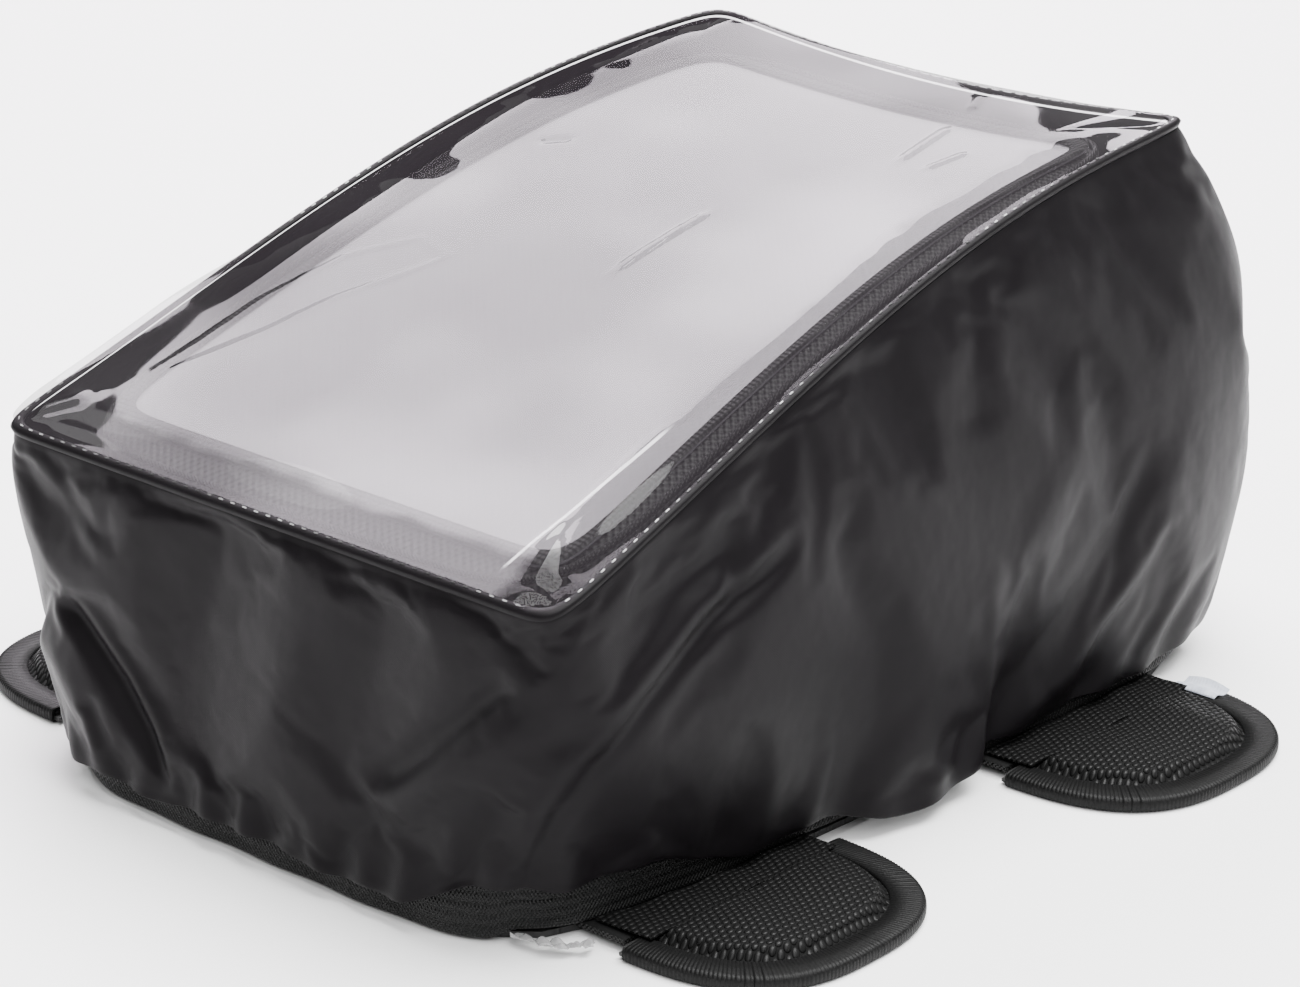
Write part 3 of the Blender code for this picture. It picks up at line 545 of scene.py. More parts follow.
def rounded_grid(power, columns, rows):
    """Square grid (s, t) from -1 to 1, and the same with its corners rounded off (u, v)."""
    s, t = np.meshgrid(np.linspace(-1.0, 1.0, columns), np.linspace(-1.0, 1.0, rows),
                       indexing="ij")
    largest = np.maximum(np.abs(s), np.abs(t))
    pull = largest / np.maximum((np.abs(s) ** power + np.abs(t) ** power)
                                ** (1.0 / power), 1e-9)
    return s, t, s * pull, t * pull


def lid_grid(share, drop, power=RIM_POWER):
    """Grid over the lid's rounded outline, scaled to share of it, drop below the film."""
    s, t, u, v = rounded_grid(power, 70, 90)
    half = mix(WINDOW_HALF_FRONT - RIM_INSET, WINDOW_HALF_REAR - RIM_INSET, (v + 1.0) / 2.0)
    y = mix(WINDOW_FRONT_Y + RIM_FRONT_INSET, WINDOW_REAR_Y - RIM_INSET, (v + 1.0) / 2.0)
    x = u * half * share
    y = mix(MIDDLE_Y, y, share)
    return np.stack((x, y, top_height(x, y) - drop), axis=2), s, t


top, s, t = lid_grid(1.0, LID_DROP + 0.0003)
bottom, _, _ = lid_grid(1.0, LID_DROP + LID_THICK)
edge = np.maximum(np.abs(s), np.abs(t))
top[:, :, 2] -= 0.0022 * smooth((edge - 0.93) / 0.07)
lid_weave = Finish("lid_weave", 0.5, Specular_IOR_Level=0.3)
lid_threads = lid_weave.weave(lid_weave.x, lid_weave.y, 0.0030)
lid_weave.drive("Base Color", lid_weave.tint(lid_threads.held(-0.5, 0.9), grey(0.004), grey(0.045)))
lid_weave.drive("Roughness", lid_threads * 0.1 + 0.5)
lid_weave.relief(lid_threads, 0.0004)
lid_panel = shell("lid_panel_padded", top, bottom)
finish_piece(lid_panel, lid_weave, "lid", ("lid_panel",))

gusset_rows = 8
outer, inner = np.zeros((2, 240, gusset_rows, 3))
for row, share in enumerate(np.linspace(0.0, 1.0, gusset_rows)):
    bow = 0.0005 * (1.0 - (2.0 * share - 1.0) ** 2)
    for grid, inset in ((outer, -bow), (inner, GUSSET_THICK)):
        x, y = wall_ring(240, 1.0, inset)
        z = top_height(x, y) - LID_DROP - LID_THICK - GAP - GUSSET_HEIGHT * share
        grid[:, row] = np.stack((x, y, z), axis=1)
gusset = shell("lid_gusset_band", outer, inner, ring=True)
finish_piece(gusset, ballistic, "lid", ("lid_gusset",))

# the lid turns on a web sewn low on the hinge strip and high on the gusset
HINGE_WEB_HALF = 0.068
HINGE_WEB_BELOW = 0.0070
HINGE_WEB_ABOVE = 0.0115
HINGE_WEB_THICK = 0.0006
HINGE_STRIP_OUT = 0.0016
GUSSET_OUT = 0.0009
rear_rim_z = top_height(0.0, WINDOW_REAR_Y - RIM_INSET) - RIM_DROP
across, up = np.meshgrid(np.linspace(-1.0, 1.0, 40), np.linspace(0.0, 1.0, 18), indexing="ij")
z = rear_rim_z + mix(-HINGE_WEB_BELOW, HINGE_WEB_ABOVE, up)
rise = np.minimum((z[0] - WALL_FOOT_Z) / (rear_rim_z - WALL_FOOT_Z), 1.0)
rear_y = np.array([wall_ring(360, height, 0.0)[1].max() for height in rise])
rear_y = rear_y + mix(HINGE_STRIP_OUT, GUSSET_OUT, smooth((z[0] - rear_rim_z) / 0.004))
rear_y = np.broadcast_to(rear_y, z.shape)
hinge_web = shell("lid_hinge_web",
                  np.stack((across * HINGE_WEB_HALF, rear_y + HINGE_WEB_THICK, z), axis=2),
                  np.stack((across * HINGE_WEB_HALF, rear_y, z), axis=2), sharp_deg=75.0)
finish_piece(hinge_web, webbing, None)
rear_rim_z - 0.0004
rear_rim_z + 0.0080
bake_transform(hinge_web)


def cord_round(name, line, radius, sides=8):
    """Tube round a closed line of points, such as piping."""
    along = np.roll(line, -1, axis=0) - np.roll(line, 1, axis=0)
    along /= np.linalg.norm(along, axis=1, keepdims=True)
    out = sideways(along)
    up = np.cross(out, along)
    angle = np.arange(sides) / sides * 2.0 * np.pi
    sections = (line[:, None, :] + radius * np.cos(angle)[None, :, None] * out[:, None, :]
                + radius * np.sin(angle)[None, :, None] * up[:, None, :])
    return sweep(name, sections, True)


x, y = wall_ring(360, 1.0, 0.0010)
line = np.stack((x, y, top_height(x, y) - LID_DROP - 0.0010), axis=1)
piping = cord_round("lid_piping", line, 0.0011)
finish_piece(piping, webbing, "lid")

vinyl = Finish("pocket_vinyl", 0.12, Coat_Weight=1.0, Coat_Roughness=0.05, Alpha=0.55, IOR=1.6)
cloud = vinyl.noise(0.05, 4.0)
vinyl.drive("Base Color", vinyl.tint(cloud.held(0.3, 0.7), (0.24, 0.225, 0.245),
                                     (0.36, 0.34, 0.37)))
vinyl.drive("Roughness", cloud * 0.15 + 0.08)
vinyl.relief(vinyl.noise(0.04, 0.0), 0.0006)
low, _, _ = lid_grid(POCKET_SHARE, LID_DROP - GAP, POCKET_POWER)
high, _, _ = lid_grid(POCKET_SHARE, LID_DROP - GAP - POCKET_FILM_THICK, POCKET_POWER)
pocket_film = shell("map_pocket_vinyl", high, low)
finish_piece(pocket_film, vinyl, "lid", ("map_pocket_film",))

binding_tape = Finish("binding_tape", 0.6, Specular_IOR_Level=0.2)
ladder = binding_tape.x.sine(0.0018) + binding_tape.y.sine(0.0018)
binding_tape.drive("Base Color", binding_tape.tint(ladder.held(-1.2, 1.2), grey(0.006), grey(0.03)))
binding_tape.relief(ladder, 0.0002)
sections = []
for share, drop in ((POCKET_SHARE, 0.0), (POCKET_EDGE_SHARE, 0.0),
                    (POCKET_EDGE_SHARE + 0.006, 0.0007), (POCKET_SHARE - 0.006, 0.0007)):
    x, y = rim_ring(360, POCKET_POWER, 0.0).T
    x, y = x * share, mix(MIDDLE_Y, y, share)
    z = top_height(x, y) - LID_DROP + 2 * GAP + POCKET_FILM_THICK + drop
    sections.append(np.stack((x, y, z), axis=1))
pocket_binding = sweep("map_pocket_tape", np.stack(sections, axis=1), True)
finish_piece(pocket_binding, binding_tape, "lid", ("map_pocket_binding",))


# --- Magnetic flaps ---------------------------------------------------------------
# Each flap is a padded tongue of beaded spacer mesh over two magnets, with a rubber sole.
# Ribbed tape binds its edge, and the mesh runs on over the fold under the webbing band.
FLAP_REACH = 0.057
FLAP_HALF_WIDTH = 0.049
FLAP_POWER = 2.7
FLAP_ROOT_GAP = 0.0010
FLAP_SHELL_ROOT = 0.0030
FLAP_HEIGHT = 0.0080
FLAP_RIM_Z = 0.0036
FLAP_SEAT_Z = 0.0024
FLAP_SKIN = 0.0012
BINDING_WIDTH = 0.0100
BINDING_WEB = 0.0010
BINDING_TOP_Z = 0.0045
PAD_SLOPE = 0.0045
TAPE_RIB_PITCH = 0.0013
TAPE_RIB_DEPTH = 0.0003
TAPE_LENGTH = 0.165
FOLD_WEB_HALF_WIDTH = 0.041
BEAD_WIDTH = 0.0021
BEAD_LENGTH = 0.0027
flaps = (("front_right", 1.0, 0.11997, -0.1000), ("front_left", -1.0, 0.11997, -0.1000),
         ("rear_right", 1.0, 0.12897, 0.0660), ("rear_left", -1.0, 0.12897, 0.0660))

bead_mesh = Finish("bead_mesh", 0.4, Specular_IOR_Level=0.12)
row_place = bead_mesh.x * (1.0 / BEAD_WIDTH)
stagger = (row_place.math("FLOOR") * 0.5).math("FRACT")
bead_u = row_place.math("FRACT") - 0.5
bead_v = (bead_mesh.y * (1.0 / BEAD_LENGTH) + stagger).math("FRACT") - 0.5
bead = (1.0 - (bead_u * bead_u + bead_v * bead_v) * 4.2).math("MAXIMUM", 0.0).math("SQRT")
# painted highlight and shade: the base colour is lighter on each bead's crown as a highlight and
# darker in the gaps between beads as shade
bead_mesh.drive("Base Color", bead_mesh.tint(bead.held(0.1, 0.9), grey(0.001), grey(0.008)))
bead_mesh.drive("Roughness", 0.75 - bead * 0.4)
bead_mesh.relief(bead, 0.0009)

tape_ribbed = Finish("ribbed_tape", 0.5, Specular_IOR_Level=0.12)
tape_ribbed.mottle(0.0012, grey(0.0015), grey(0.006))
tape_ribbed.relief(tape_ribbed.noise(0.0005), 0.0001)

sole_rubber = Finish("sole_rubber", 0.65)
sole_rubber.mottle(0.01, grey(0.012), grey(0.03))
sole_rubber.relief((sole_rubber.x + sole_rubber.y).sine(0.003)
                   * (sole_rubber.x - sole_rubber.y).sine(0.003), 0.0003)

magnet_coat = Finish("magnet_coat", 0.3, Metallic=1.0)
magnet_coat.mottle(0.004, grey(0.4), grey(0.55))
magnet_coat.drive("Roughness", magnet_coat.noise(0.001) * 0.2 + 0.2)


def tongue(inset, count=241):
    """Points on a flap's round edge as (reach, along), from its low end to its high end."""
    fine = np.radians(np.linspace(-90.0, 90.0, 2001))
    c, s = np.abs(np.cos(fine)), np.sin(fine)
    radius = (c ** FLAP_POWER + np.abs(s) ** FLAP_POWER) ** (-1.0 / FLAP_POWER)
    reach = mix(FLAP_ROOT_GAP, FLAP_REACH - inset, c * radius)
    along = s * radius * (FLAP_HALF_WIDTH - inset)
    run = np.concatenate(([0.0], np.cumsum(np.hypot(np.diff(reach), np.diff(along)))))
    wanted = np.linspace(0.0, run[-1], count)
    return np.interp(wanted, run, reach), np.interp(wanted, run, along)


def flap_place(side, hinge_x, centre_y, reach, along, z):
    return np.stack((side * (hinge_x + reach), centre_y + along, z + 0.0 * reach), axis=-1)


edge_reach, edge_along = tongue(BINDING_WEB + GAP, 161)
keep = edge_reach >= FLAP_SHELL_ROOT
edge_reach, edge_along = edge_reach[keep], edge_along[keep]
shares = np.linspace(0.0, 1.0, 44) ** 0.8
hub_reach = FLAP_SHELL_ROOT + 0.0003
for name, side, hinge_x, centre_y in flaps:
    body = "flap_" + name

    # the padded top: lines from the middle of the root out to the round edge
    reach = mix(hub_reach, edge_reach[:, None], shares[None, :])
    along = edge_along[:, None] * shares[None, :]
    gaps = np.hypot(reach[:, :, None] - edge_reach[None, None, :],
                    along[:, :, None] - edge_along[None, None, :]).min(axis=2)
    depth = np.minimum(gaps, reach - FLAP_SHELL_ROOT + 0.0066)
    legs = BINDING_WIDTH + GAP - BINDING_WEB
    crown = smooth((depth - legs) / PAD_SLOPE)
    dome = 0.0009 * smooth((depth - legs - PAD_SLOPE) / 0.012)
    ripple = 0.00035 * np.sin(along * 190.0 + side * 2.0 + centre_y * 40.0) * crown
    high = mix(FLAP_RIM_Z, FLAP_HEIGHT, crown) + dome + ripple
    low = mix(FLAP_SEAT_Z, FLAP_HEIGHT - FLAP_SKIN, smooth((depth - legs - 0.0004) / PAD_SLOPE))
    low = np.minimum(low, high - 0.5 * FLAP_SKIN)
    top = shell("flap_mesh_" + name,
                flap_place(side, hinge_x, centre_y, reach, along, high),
                flap_place(side, hinge_x, centre_y, reach, along, low), sharp_deg=75.0)
    finish_piece(top, bead_mesh, body, ("flap_top_" + name,))

    # the binding: a folded tape round the edge, ribbed across its width
    section = ((BINDING_WIDTH, 0.0039), (0.0012, 0.0039), (0.0010, 0.0037), (0.0010, 0.0008),
               (0.0012, 0.0006), (BINDING_WIDTH, 0.0006), (BINDING_WIDTH, 0.0), (0.0020, 0.0),
               (0.0006, 0.0003), (0.0001, 0.0011), (0.0, 0.0022), (0.0001, 0.0034),
               (0.0006, 0.0042), (0.0020, BINDING_TOP_Z), (0.0050, BINDING_TOP_Z + 0.0001),
               (BINDING_WIDTH - 0.0003, BINDING_TOP_Z))
    count = 701
    loops = []
    for number, (inset, z) in enumerate(section):
        reach, along = tongue(inset, count)
        run = np.linspace(0.0, TAPE_LENGTH, count)
        rib = ribs(run, TAPE_RIB_PITCH) * TAPE_RIB_DEPTH
        if number >= 7:       # the outside of the fold carries the ribs
            out_reach, out_along = tongue(inset - 0.001, count)
            push = (rib - TAPE_RIB_DEPTH) * (1000.0 if 8 <= number <= 12 else 0.0)
            reach = reach + (out_reach - reach) * push
            along = along + (out_along - along) * push
            z = z + (rib if number >= 12 else 0.0)
        reach = np.maximum(reach, FLAP_SHELL_ROOT)
        loops.append(flap_place(side, hinge_x, centre_y, reach, along, z))
    sections = np.stack(loops, axis=1)
    inside = tongue(0.0, count)[0] >= FLAP_SHELL_ROOT
    binding = sweep("flap_binding_tape_" + name, sections[inside], False, sharp_deg=75.0)
    finish_piece(binding, tape_ribbed, body, ("flap_binding_" + name,))

    # the mesh that runs on over the fold, from under the band to the flap's root
    share = np.linspace(0.0, 1.0, 25)[:, None]
    line = np.linspace(-FOLD_WEB_HALF_WIDTH, FOLD_WEB_HALF_WIDTH, 121)
    band_x, band_y = wall_ring(1200, 0.0, -GAP - BAND_THICK - 0.0013)
    facing = (band_x * side > 0.06) & (np.abs(band_y) < 0.158)
    order = np.argsort(band_y[facing])
    start = np.interp(centre_y + line, band_y[facing][order],
                      np.abs(band_x[facing][order])) - hinge_x
    reach = mix(start[None, :], 0.0075, share)
    along = line[None, :] + 0.0 * share
    z = mix(0.0046, 0.0055, smooth(share)) + 0.0003 * np.sin(along * 310.0)
    web = shell("flap_fold_web_" + name,
                flap_place(side, hinge_x, centre_y, reach, along, z + 0.0006),
                flap_place(side, hinge_x, centre_y, reach, along, z), sharp_deg=75.0)
    finish_piece(web, bead_mesh, None)
    side * (hinge_x - 0.003)
    side * (hinge_x + 0.005)
    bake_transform(web)
    dress(sole_rubber, "flap_underside_" + name)
    dress(magnet_coat, "magnet_" + name + "_a", "magnet_" + name + "_b")

# a blank folded tag on the rear right flap, and a white thread finish that nothing wears
white_thread = Finish("white_thread", 0.6)
white_thread.mottle(0.0005, grey(0.45), grey(0.8))
tag_cloth = Finish("tag_cloth", 0.6)
tag_cloth.mottle(0.004, (0.30, 0.33, 0.42), (0.75, 0.78, 0.85))
tag_cloth.relief(tag_cloth.weave(tag_cloth.x, tag_cloth.y, 0.0006), 0.0001)
tag_low, tag_high = (np.array(corner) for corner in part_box("flap_label"))
u, v = np.meshgrid(np.linspace(0.0, 1.0, 25), np.linspace(0.0, 1.0, 13), indexing="ij")
tag_x = mix(tag_low[0], tag_high[0], u)
tag_y = mix(tag_low[1], tag_high[1], v)
tag_z = tag_low[2] + 0.0003 + 0.0014 * np.sin(np.pi * u) * v + 0.0006 * np.sin(7.0 * v)
tag = shell("flap_tag", np.stack((tag_x, tag_y, tag_z + 0.0003), axis=2),
            np.stack((tag_x, tag_y, tag_z), axis=2), sharp_deg=75.0)
finish_piece(tag, tag_cloth, "flap_rear_right", ("flap_label",))


# --- Rain cover: skirt ------------------------------------------------------------
# One sheet of thin coated nylon with a satin face, cut with fullness and joined at one
# seam.  It hangs from the window's edge to an elastic hem that pulls it in at the foot.
SKIRT_COLUMNS = 448
SKIRT_ROWS = 64
SKIRT_THICK = 0.0009
FILM_THICK = 0.0010
SIDE_BULGE = 0.005
REAR_BULGE = 0.022
REAR_SIDE_BULGE = 0.012
FILM_POWER = 30.0             # the window's own corners are nearly square
HEM_Z = 0.0092
HEM_RIDE = 0.0100             # how far it rides up at the low right corner
RIDE_X = 0.102
RIDE_Y = -0.150
BETWEEN_Y = -0.016            # midway between the flaps of a side
BETWEEN_DROP = 0.0035
BETWEEN_FLARE = 0.0110
LEFT_FLARE = 0.0045
LEFT_FLARE_Y = -0.140
FLARE_HALF = (0.12, 0.17)
FLARE_BEHIND = 0.0065
FLARE_POWER = 10
SETTLE = 0.004                # the cloth moves no further than this from its cut shape

# creases that the cover was folded and pulled into: (points in mm, height, width in mm)
skirt_folds = (
    (((-86, -171, 61), (-77, -173, 57), (-69, -174, 51), (-58, -175, 42), (-47, -176, 28),
      (-36, -177, 10)), -3.5, 4.0),
    (((-104, -170, 46), (-88, -173, 40), (-72, -175, 28), (-56, -177, 10)), 5.0, 11.0),
    (((-70, -175, 35), (-62, -176, 19)), -1.6, 3.0),
    (((48, -175, 39), (69, -174, 58), (89, -171, 76), (104, -163, 90)), -3.2, 5.0),
    (((52, -175, 33), (74, -174, 50), (95, -170, 66), (108, -160, 80)), 2.6, 6.0),
    (((104, -162, 90), (115, -132, 101), (117, -96, 108), (118, -95, 92)), -1.8, 4.5),
    (((98, -167, 24), (103, -164, 47), (110, -159, 63), (115, -139, 81), (117, -113, 96),
      (118, -90, 103), (117, -65, 112)), 2.6, 4.5),
    (((103, -165, 22), (109, -160, 46), (114, -152, 60), (117, -131, 76), (119, -106, 91),
      (119, -84, 99), (118, -60, 107)), -2.0, 3.5),
    (((121, 30, 8), (126, 56, 22), (131, 84, 46), (134, 110, 74)), 2.4, 7.0),
    (((119, 0, 8), (123, 40, 34), (128, 80, 66), (128, 110, 98)), -2.0, 8.0),
    (((123, 62, 8), (130, 86, 26), (136, 112, 44), (138, 135, 66)), -2.6, 5.0),
    (((118, -40, 8), (121, 0, 40), (123, 40, 74), (121, 80, 112)), 1.6, 10.0),
    (((111, 20, 150), (115, 15, 133), (118, 13, 112)), -1.4, 8.0),
    (((-20, -176, 8), (0, -176, 30), (14, -175, 58), (20, -173, 86)), 1.2, 12.0),
    (((30, -177, 8), (40, -176, 22), (56, -175, 34)), -1.6, 5.0),
    (((80, -176, 14), (88, -173, 34), (98, -169, 52)), -2.2, 5.0),
    (((90, 152, 20), (60, 176, 70), (20, 184, 110)), 2.0, 10.0),
    (((-110, 120, 20), (-80, 170, 50), (-20, 184, 90)), -2.0, 9.0),
    (((-118, -120, 20), (-121, -60, 60), (-118, 10, 110)), 2.2, 8.0),
    (((-122, 40, 12), (-128, 70, 60), (-120, 110, 120)), -2.4, 8.0),
    (((0, 176, 12), (8, 186, 60), (-6, 178, 120)), -1.5, 9.0),
)


def line_distance(points, line):
    """Distance from each point to a line through a few points, and the share along it."""
    best = np.full(len(points), 1e9)
    where = np.zeros(len(points))
    for number in range(len(line) - 1):
        a, b = line[number], line[number + 1]
        share = np.clip((points - a) @ (b - a) / ((b - a) @ (b - a)), 0.0, 1.0)
        gap = np.linalg.norm(points - a - share[:, None] * (b - a), axis=1)
        closer = gap < best
        best[closer] = gap[closer]
        where[closer] = (number + share[closer]) / (len(line) - 1)
    return best, where


def raised(points, folds):
    """Height of all folds together at each point, in metres."""
    height = np.zeros(len(points))
    for line, rise, width in folds:
        gap, where = line_distance(points, np.array(line, float) / 1000.0)
        fade = smooth(where / 0.15) * smooth((1.0 - where) / 0.2) * 0.85 + 0.15
        height += rise / 1000.0 * fade * np.exp(-(gap * 1000.0 / width) ** 2)
    return height


def window_ring(count, inset):
    """The window's outline, inset from its seam."""
    return outline(count, FILM_POWER, WINDOW_HALF_FRONT - inset, WINDOW_HALF_REAR - inset,
                   WINDOW_FRONT_Y + inset, WINDOW_REAR_Y - inset).T


ring_x, ring_y = window_ring(SKIRT_COLUMNS, 0.0)
seam_z = top_height(ring_x, ring_y) - FILM_THICK - GAP
hem_x, hem_y = outline(SKIRT_COLUMNS, HEM_POWER, HEM_HALF_FRONT, HEM_HALF_REAR,
                       HEM_FRONT_Y, HEM_REAR_Y).T
# the hem rides up over the band at the low right corner, and flares out between the flaps
from_corner = np.hypot(hem_x - RIDE_X, (hem_y - RIDE_Y) * 0.72)
lift = HEM_RIDE * (1.0 - smooth((from_corner - 0.016) / 0.034))
lift += 0.0008 * np.sin(hem_y * 95.0 + hem_x * 60.0) + 0.0005 * np.sin(hem_x * 170.0)
between = np.exp(-((hem_y - BETWEEN_Y) / 0.030) ** 4)
between *= smooth((np.abs(hem_x) - 0.100) / 0.012)
lift -= BETWEEN_DROP * between
flare = BETWEEN_FLARE * between
flare += (LEFT_FLARE * np.exp(-((hem_y - LEFT_FLARE_Y) / 0.022) ** 2)
          * smooth((-hem_x - 0.085) / 0.02))
outer = np.zeros((SKIRT_COLUMNS, SKIRT_ROWS, 3))
skirt_rises = np.linspace(1.0, 0.0, SKIRT_ROWS)
for row, rise in enumerate(skirt_rises):
    swell = 4.0 * rise * (1.0 - rise)
    side = SIDE_BULGE * swell
    rear_side = REAR_SIDE_BULGE * swell
    rear = REAR_BULGE * swell
    foot = outline(SKIRT_COLUMNS, HEM_POWER, HEM_HALF_FRONT + side,
                   HEM_HALF_REAR + rear_side, HEM_FRONT_Y, HEM_REAR_Y + rear)
    head = outline(SKIRT_COLUMNS, FILM_POWER, WINDOW_HALF_FRONT + side,
                   WINDOW_HALF_REAR + rear_side, WINDOW_FRONT_Y, WINDOW_REAR_Y + rear)
    x, y = mix(foot, head, rise).T
    # straight out from each side, and turning only at the corners
    out = np.stack((x / FLARE_HALF[0], (y + FLARE_BEHIND) / FLARE_HALF[1]))
    out = np.sign(out) * (np.abs(out) / np.abs(out).max(axis=0)) ** FLARE_POWER
    out *= flare * (1.0 - rise) ** 3 / np.hypot(*out)
    outer[:, row] = np.stack((x + out[0], y + out[1], mix(HEM_Z + lift, seam_z, rise)), axis=1)


def surface_normals(grid):
    """Outward unit normals of a closed ring of columns that run from top to bottom."""
    along = np.roll(grid, -1, axis=0) - np.roll(grid, 1, axis=0)
    down = np.gradient(grid, axis=1)
    normal = np.cross(down, along)
    return normal / np.maximum(np.linalg.norm(normal, axis=2, keepdims=True), 1e-12)


flat = outer.reshape(-1, 3)
height = raised(flat, skirt_folds)
x, y, z = flat.T
height += 0.0007 * np.sin(38.0 * x + 52.0 * y + 21.0 * z) * np.sin(33.0 * z - 27.0 * y)
height += 0.0005 * np.sin(95.0 * (x + y) + 60.0 * z + 2.0 * np.sin(45.0 * z))
height = height.reshape(SKIRT_COLUMNS, SKIRT_ROWS)
from_hem = smooth((1.0 - skirt_rises) / 0.06) * smooth(skirt_rises / 0.02 + 0.35)
# gathers where the elastic draws the hem in
turn = np.arange(SKIRT_COLUMNS)[:, None] / SKIRT_COLUMNS * 2.0 * np.pi
gather = 0.0010 * np.sin(turn * 31.0 + 2.0 * np.sin(turn * 7.0)) + 0.0008 * np.sin(turn * 53.0)
height = height * from_hem + gather * np.exp(-((skirt_rises - 0.03) / 0.10) ** 2)[None, :]
inward_room = -0.0022 - 0.006 * skirt_rises[None, :]
height = np.maximum(height, inward_room)
outer += surface_normals(outer) * height[:, :, None]

sheet_grid = np.arange(SKIRT_COLUMNS * SKIRT_ROWS).reshape(SKIRT_COLUMNS, SKIRT_ROWS)
cloth_piece = add_piece("skirt_cloth", outer.reshape(-1, 3),
                        quads(np.concatenate((sheet_grid, sheet_grid[:1]))).tolist())
held_rows = cloth_piece.vertex_groups.new(name="sewn")
for row in (0, 1, SKIRT_ROWS - 3, SKIRT_ROWS - 2, SKIRT_ROWS - 1):
    held_rows.add(sheet_grid[:, row].tolist(), 1.0, "REPLACE")
drape = cloth_piece.modifiers.new("drape", "CLOTH")
for setting, value in (("quality", 6), ("mass", 0.2), ("tension_stiffness", 20.0),
                       ("compression_stiffness", 20.0), ("shear_stiffness", 8.0),
                       ("bending_stiffness", 0.4), ("vertex_group_mass", "sewn"),
                       ("shrink_min", -0.012), ("use_pressure", True),
                       ("uniform_pressure_force", 0.6)):
    setattr(drape.settings, setting, value)
drape.settings.effector_weights.gravity = 0.0
drape.collision_settings.use_collision = False
scene = bpy.context.scene
for number in range(1, 21):
    scene.frame_set(number)
graph = bpy.context.evaluated_depsgraph_get()
draped = cloth_piece.evaluated_get(graph).data
moved = np.array([point.co for point in draped.vertices]).reshape(outer.shape) - outer
reach = np.linalg.norm(moved, axis=2, keepdims=True)
moved *= np.minimum(1.0, SETTLE / np.maximum(reach, 1e-9))
normal = surface_normals(outer)
inward = np.minimum((moved * normal).sum(axis=2, keepdims=True)
                    + height[:, :, None] - inward_room[:, :, None], 0.0)
outer = outer + moved - normal * inward
scene.frame_set(1)
bpy.data.objects.remove(cloth_piece)

satin_nylon = Finish("satin_nylon", 0.42, Specular_IOR_Level=0.06)
satin_nylon.drive("Base Color", satin_nylon.tint(satin_nylon.noise(0.06, 2.0),
                                                 (0.0040, 0.0034, 0.0040),
                                                 (0.0054, 0.0047, 0.0054)))
satin_nylon.drive("Roughness", satin_nylon.noise(0.03) * 0.10 + 0.34)
fine_thread = satin_nylon.weave(satin_nylon.x + satin_nylon.y, satin_nylon.z, 0.0005)
satin_nylon.relief(satin_nylon.noise(0.016, 2.0) * 0.5 + fine_thread * 0.02, 0.0010)

inner = outer - surface_normals(outer) * SKIRT_THICK
skirt = shell("cover_skirt_cloth", outer, inner, ring=True, sharp_deg=80.0)
finer = skirt.modifiers.new("finer", "SUBSURF")
finer.levels = 1
finer.render_levels = 1
graph = bpy.context.evaluated_depsgraph_get()
skirt.data = bpy.data.meshes.new_from_object(skirt.evaluated_get(graph))
skirt.modifiers.clear()
skirt.data.shade_smooth()
finish_piece(skirt, satin_nylon, "rain_cover", ("cover_skirt",))


# --- Rain cover: hem --------------------------------------------------------------
# The hem is turned up over a flat elastic cord and stitched through with black thread.
elastic_web = Finish("elastic_web", 0.7, Specular_IOR_Level=0.2)
elastic_web.mottle(0.001, grey(0.008), grey(0.03))
elastic_web.relief(elastic_web.z.sine(0.0012), 0.0002)
normal = surface_normals(outer)
foot, above = outer[:, -1], outer[:, -6]
length = np.linalg.norm(above - foot, axis=1, keepdims=True)
lean = (above - foot) / length
inside = -normal[:, -3]
sections = np.stack((foot + inside * 0.0014 + lean * 0.0004,
                     foot + inside * 0.0026 + lean * 0.0006,
                     foot + inside * 0.0026 + lean * 0.0078,
                     foot + inside * 0.0014 + lean * 0.0080), axis=1)
elastic = sweep("cover_hem_elastic_band", sections, True)
finish_piece(elastic, elastic_web, "rain_cover", ("cover_hem_elastic",))


# --- Rain cover: clear window -----------------------------------------------------
# A sheet of soft clear vinyl, creased from being folded away, is sewn to the skirt's top
# edge with a narrow turned seam and a row of long white lockstitches.
FILM_COLUMNS = 190
FILM_ROWS = 250
FILM_CROWN = 0.0042
FOLD_X = 0.0888
PAINTED_DARK_LEFT = 0.021            # how far in from its seams the painted dark bands reach
PAINTED_DARK_RIGHT = 0.017
PAINTED_DARK_FRONT = 0.016
SEAM_TAPER = (WINDOW_HALF_FRONT - WINDOW_HALF_REAR) / (WINDOW_REAR_Y - WINDOW_FRONT_Y)
# where it was folded: (points in mm, height, width in mm)
film_creases = (
    (((16, -39), (18, -10), (20, 8)), 0.7, 1.6),
    (((50, 59), (46, 80), (43, 97)), 0.8, 1.8),
    (((61, 59), (63, 70), (64, 78)), 0.7, 1.4),
    (((89, -158), (90, -130), (88, -102), (88, -88)), 0.35, 1.3),
    (((98, -167), (106, -163), (112, -156)), 1.3, 2.2),
    (((104, -168), (108, -160), (106, -152)), -0.9, 2.2),
    (((-64, 17), (-55, 24)), -0.8, 2.0),
    (((30, 128), (38, 112)), 0.6, 1.6),
    (((-108, -162), (-96, -150)), 1.2, 4.0),
    (((-86, -131), (-81, -91), (-72, -61), (-57, -45), (-40, -49),
      (-47, -62), (-58, -81), (-66, -102), (-81, -128)), 0.30, 1.5),
)
s, t, u, v = rounded_grid(FILM_POWER, FILM_COLUMNS, FILM_ROWS)
half = mix(WINDOW_HALF_FRONT, WINDOW_HALF_REAR, (v + 1.0) / 2.0)
x, y = u * half, mix(WINDOW_FRONT_Y, WINDOW_REAR_Y, (v + 1.0) / 2.0)
tucked = mix(0.12, 1.00, smooth((y + 0.105) / 0.05))
fall = (1.0 - smooth((1.0 + s) / 0.21)) * tucked
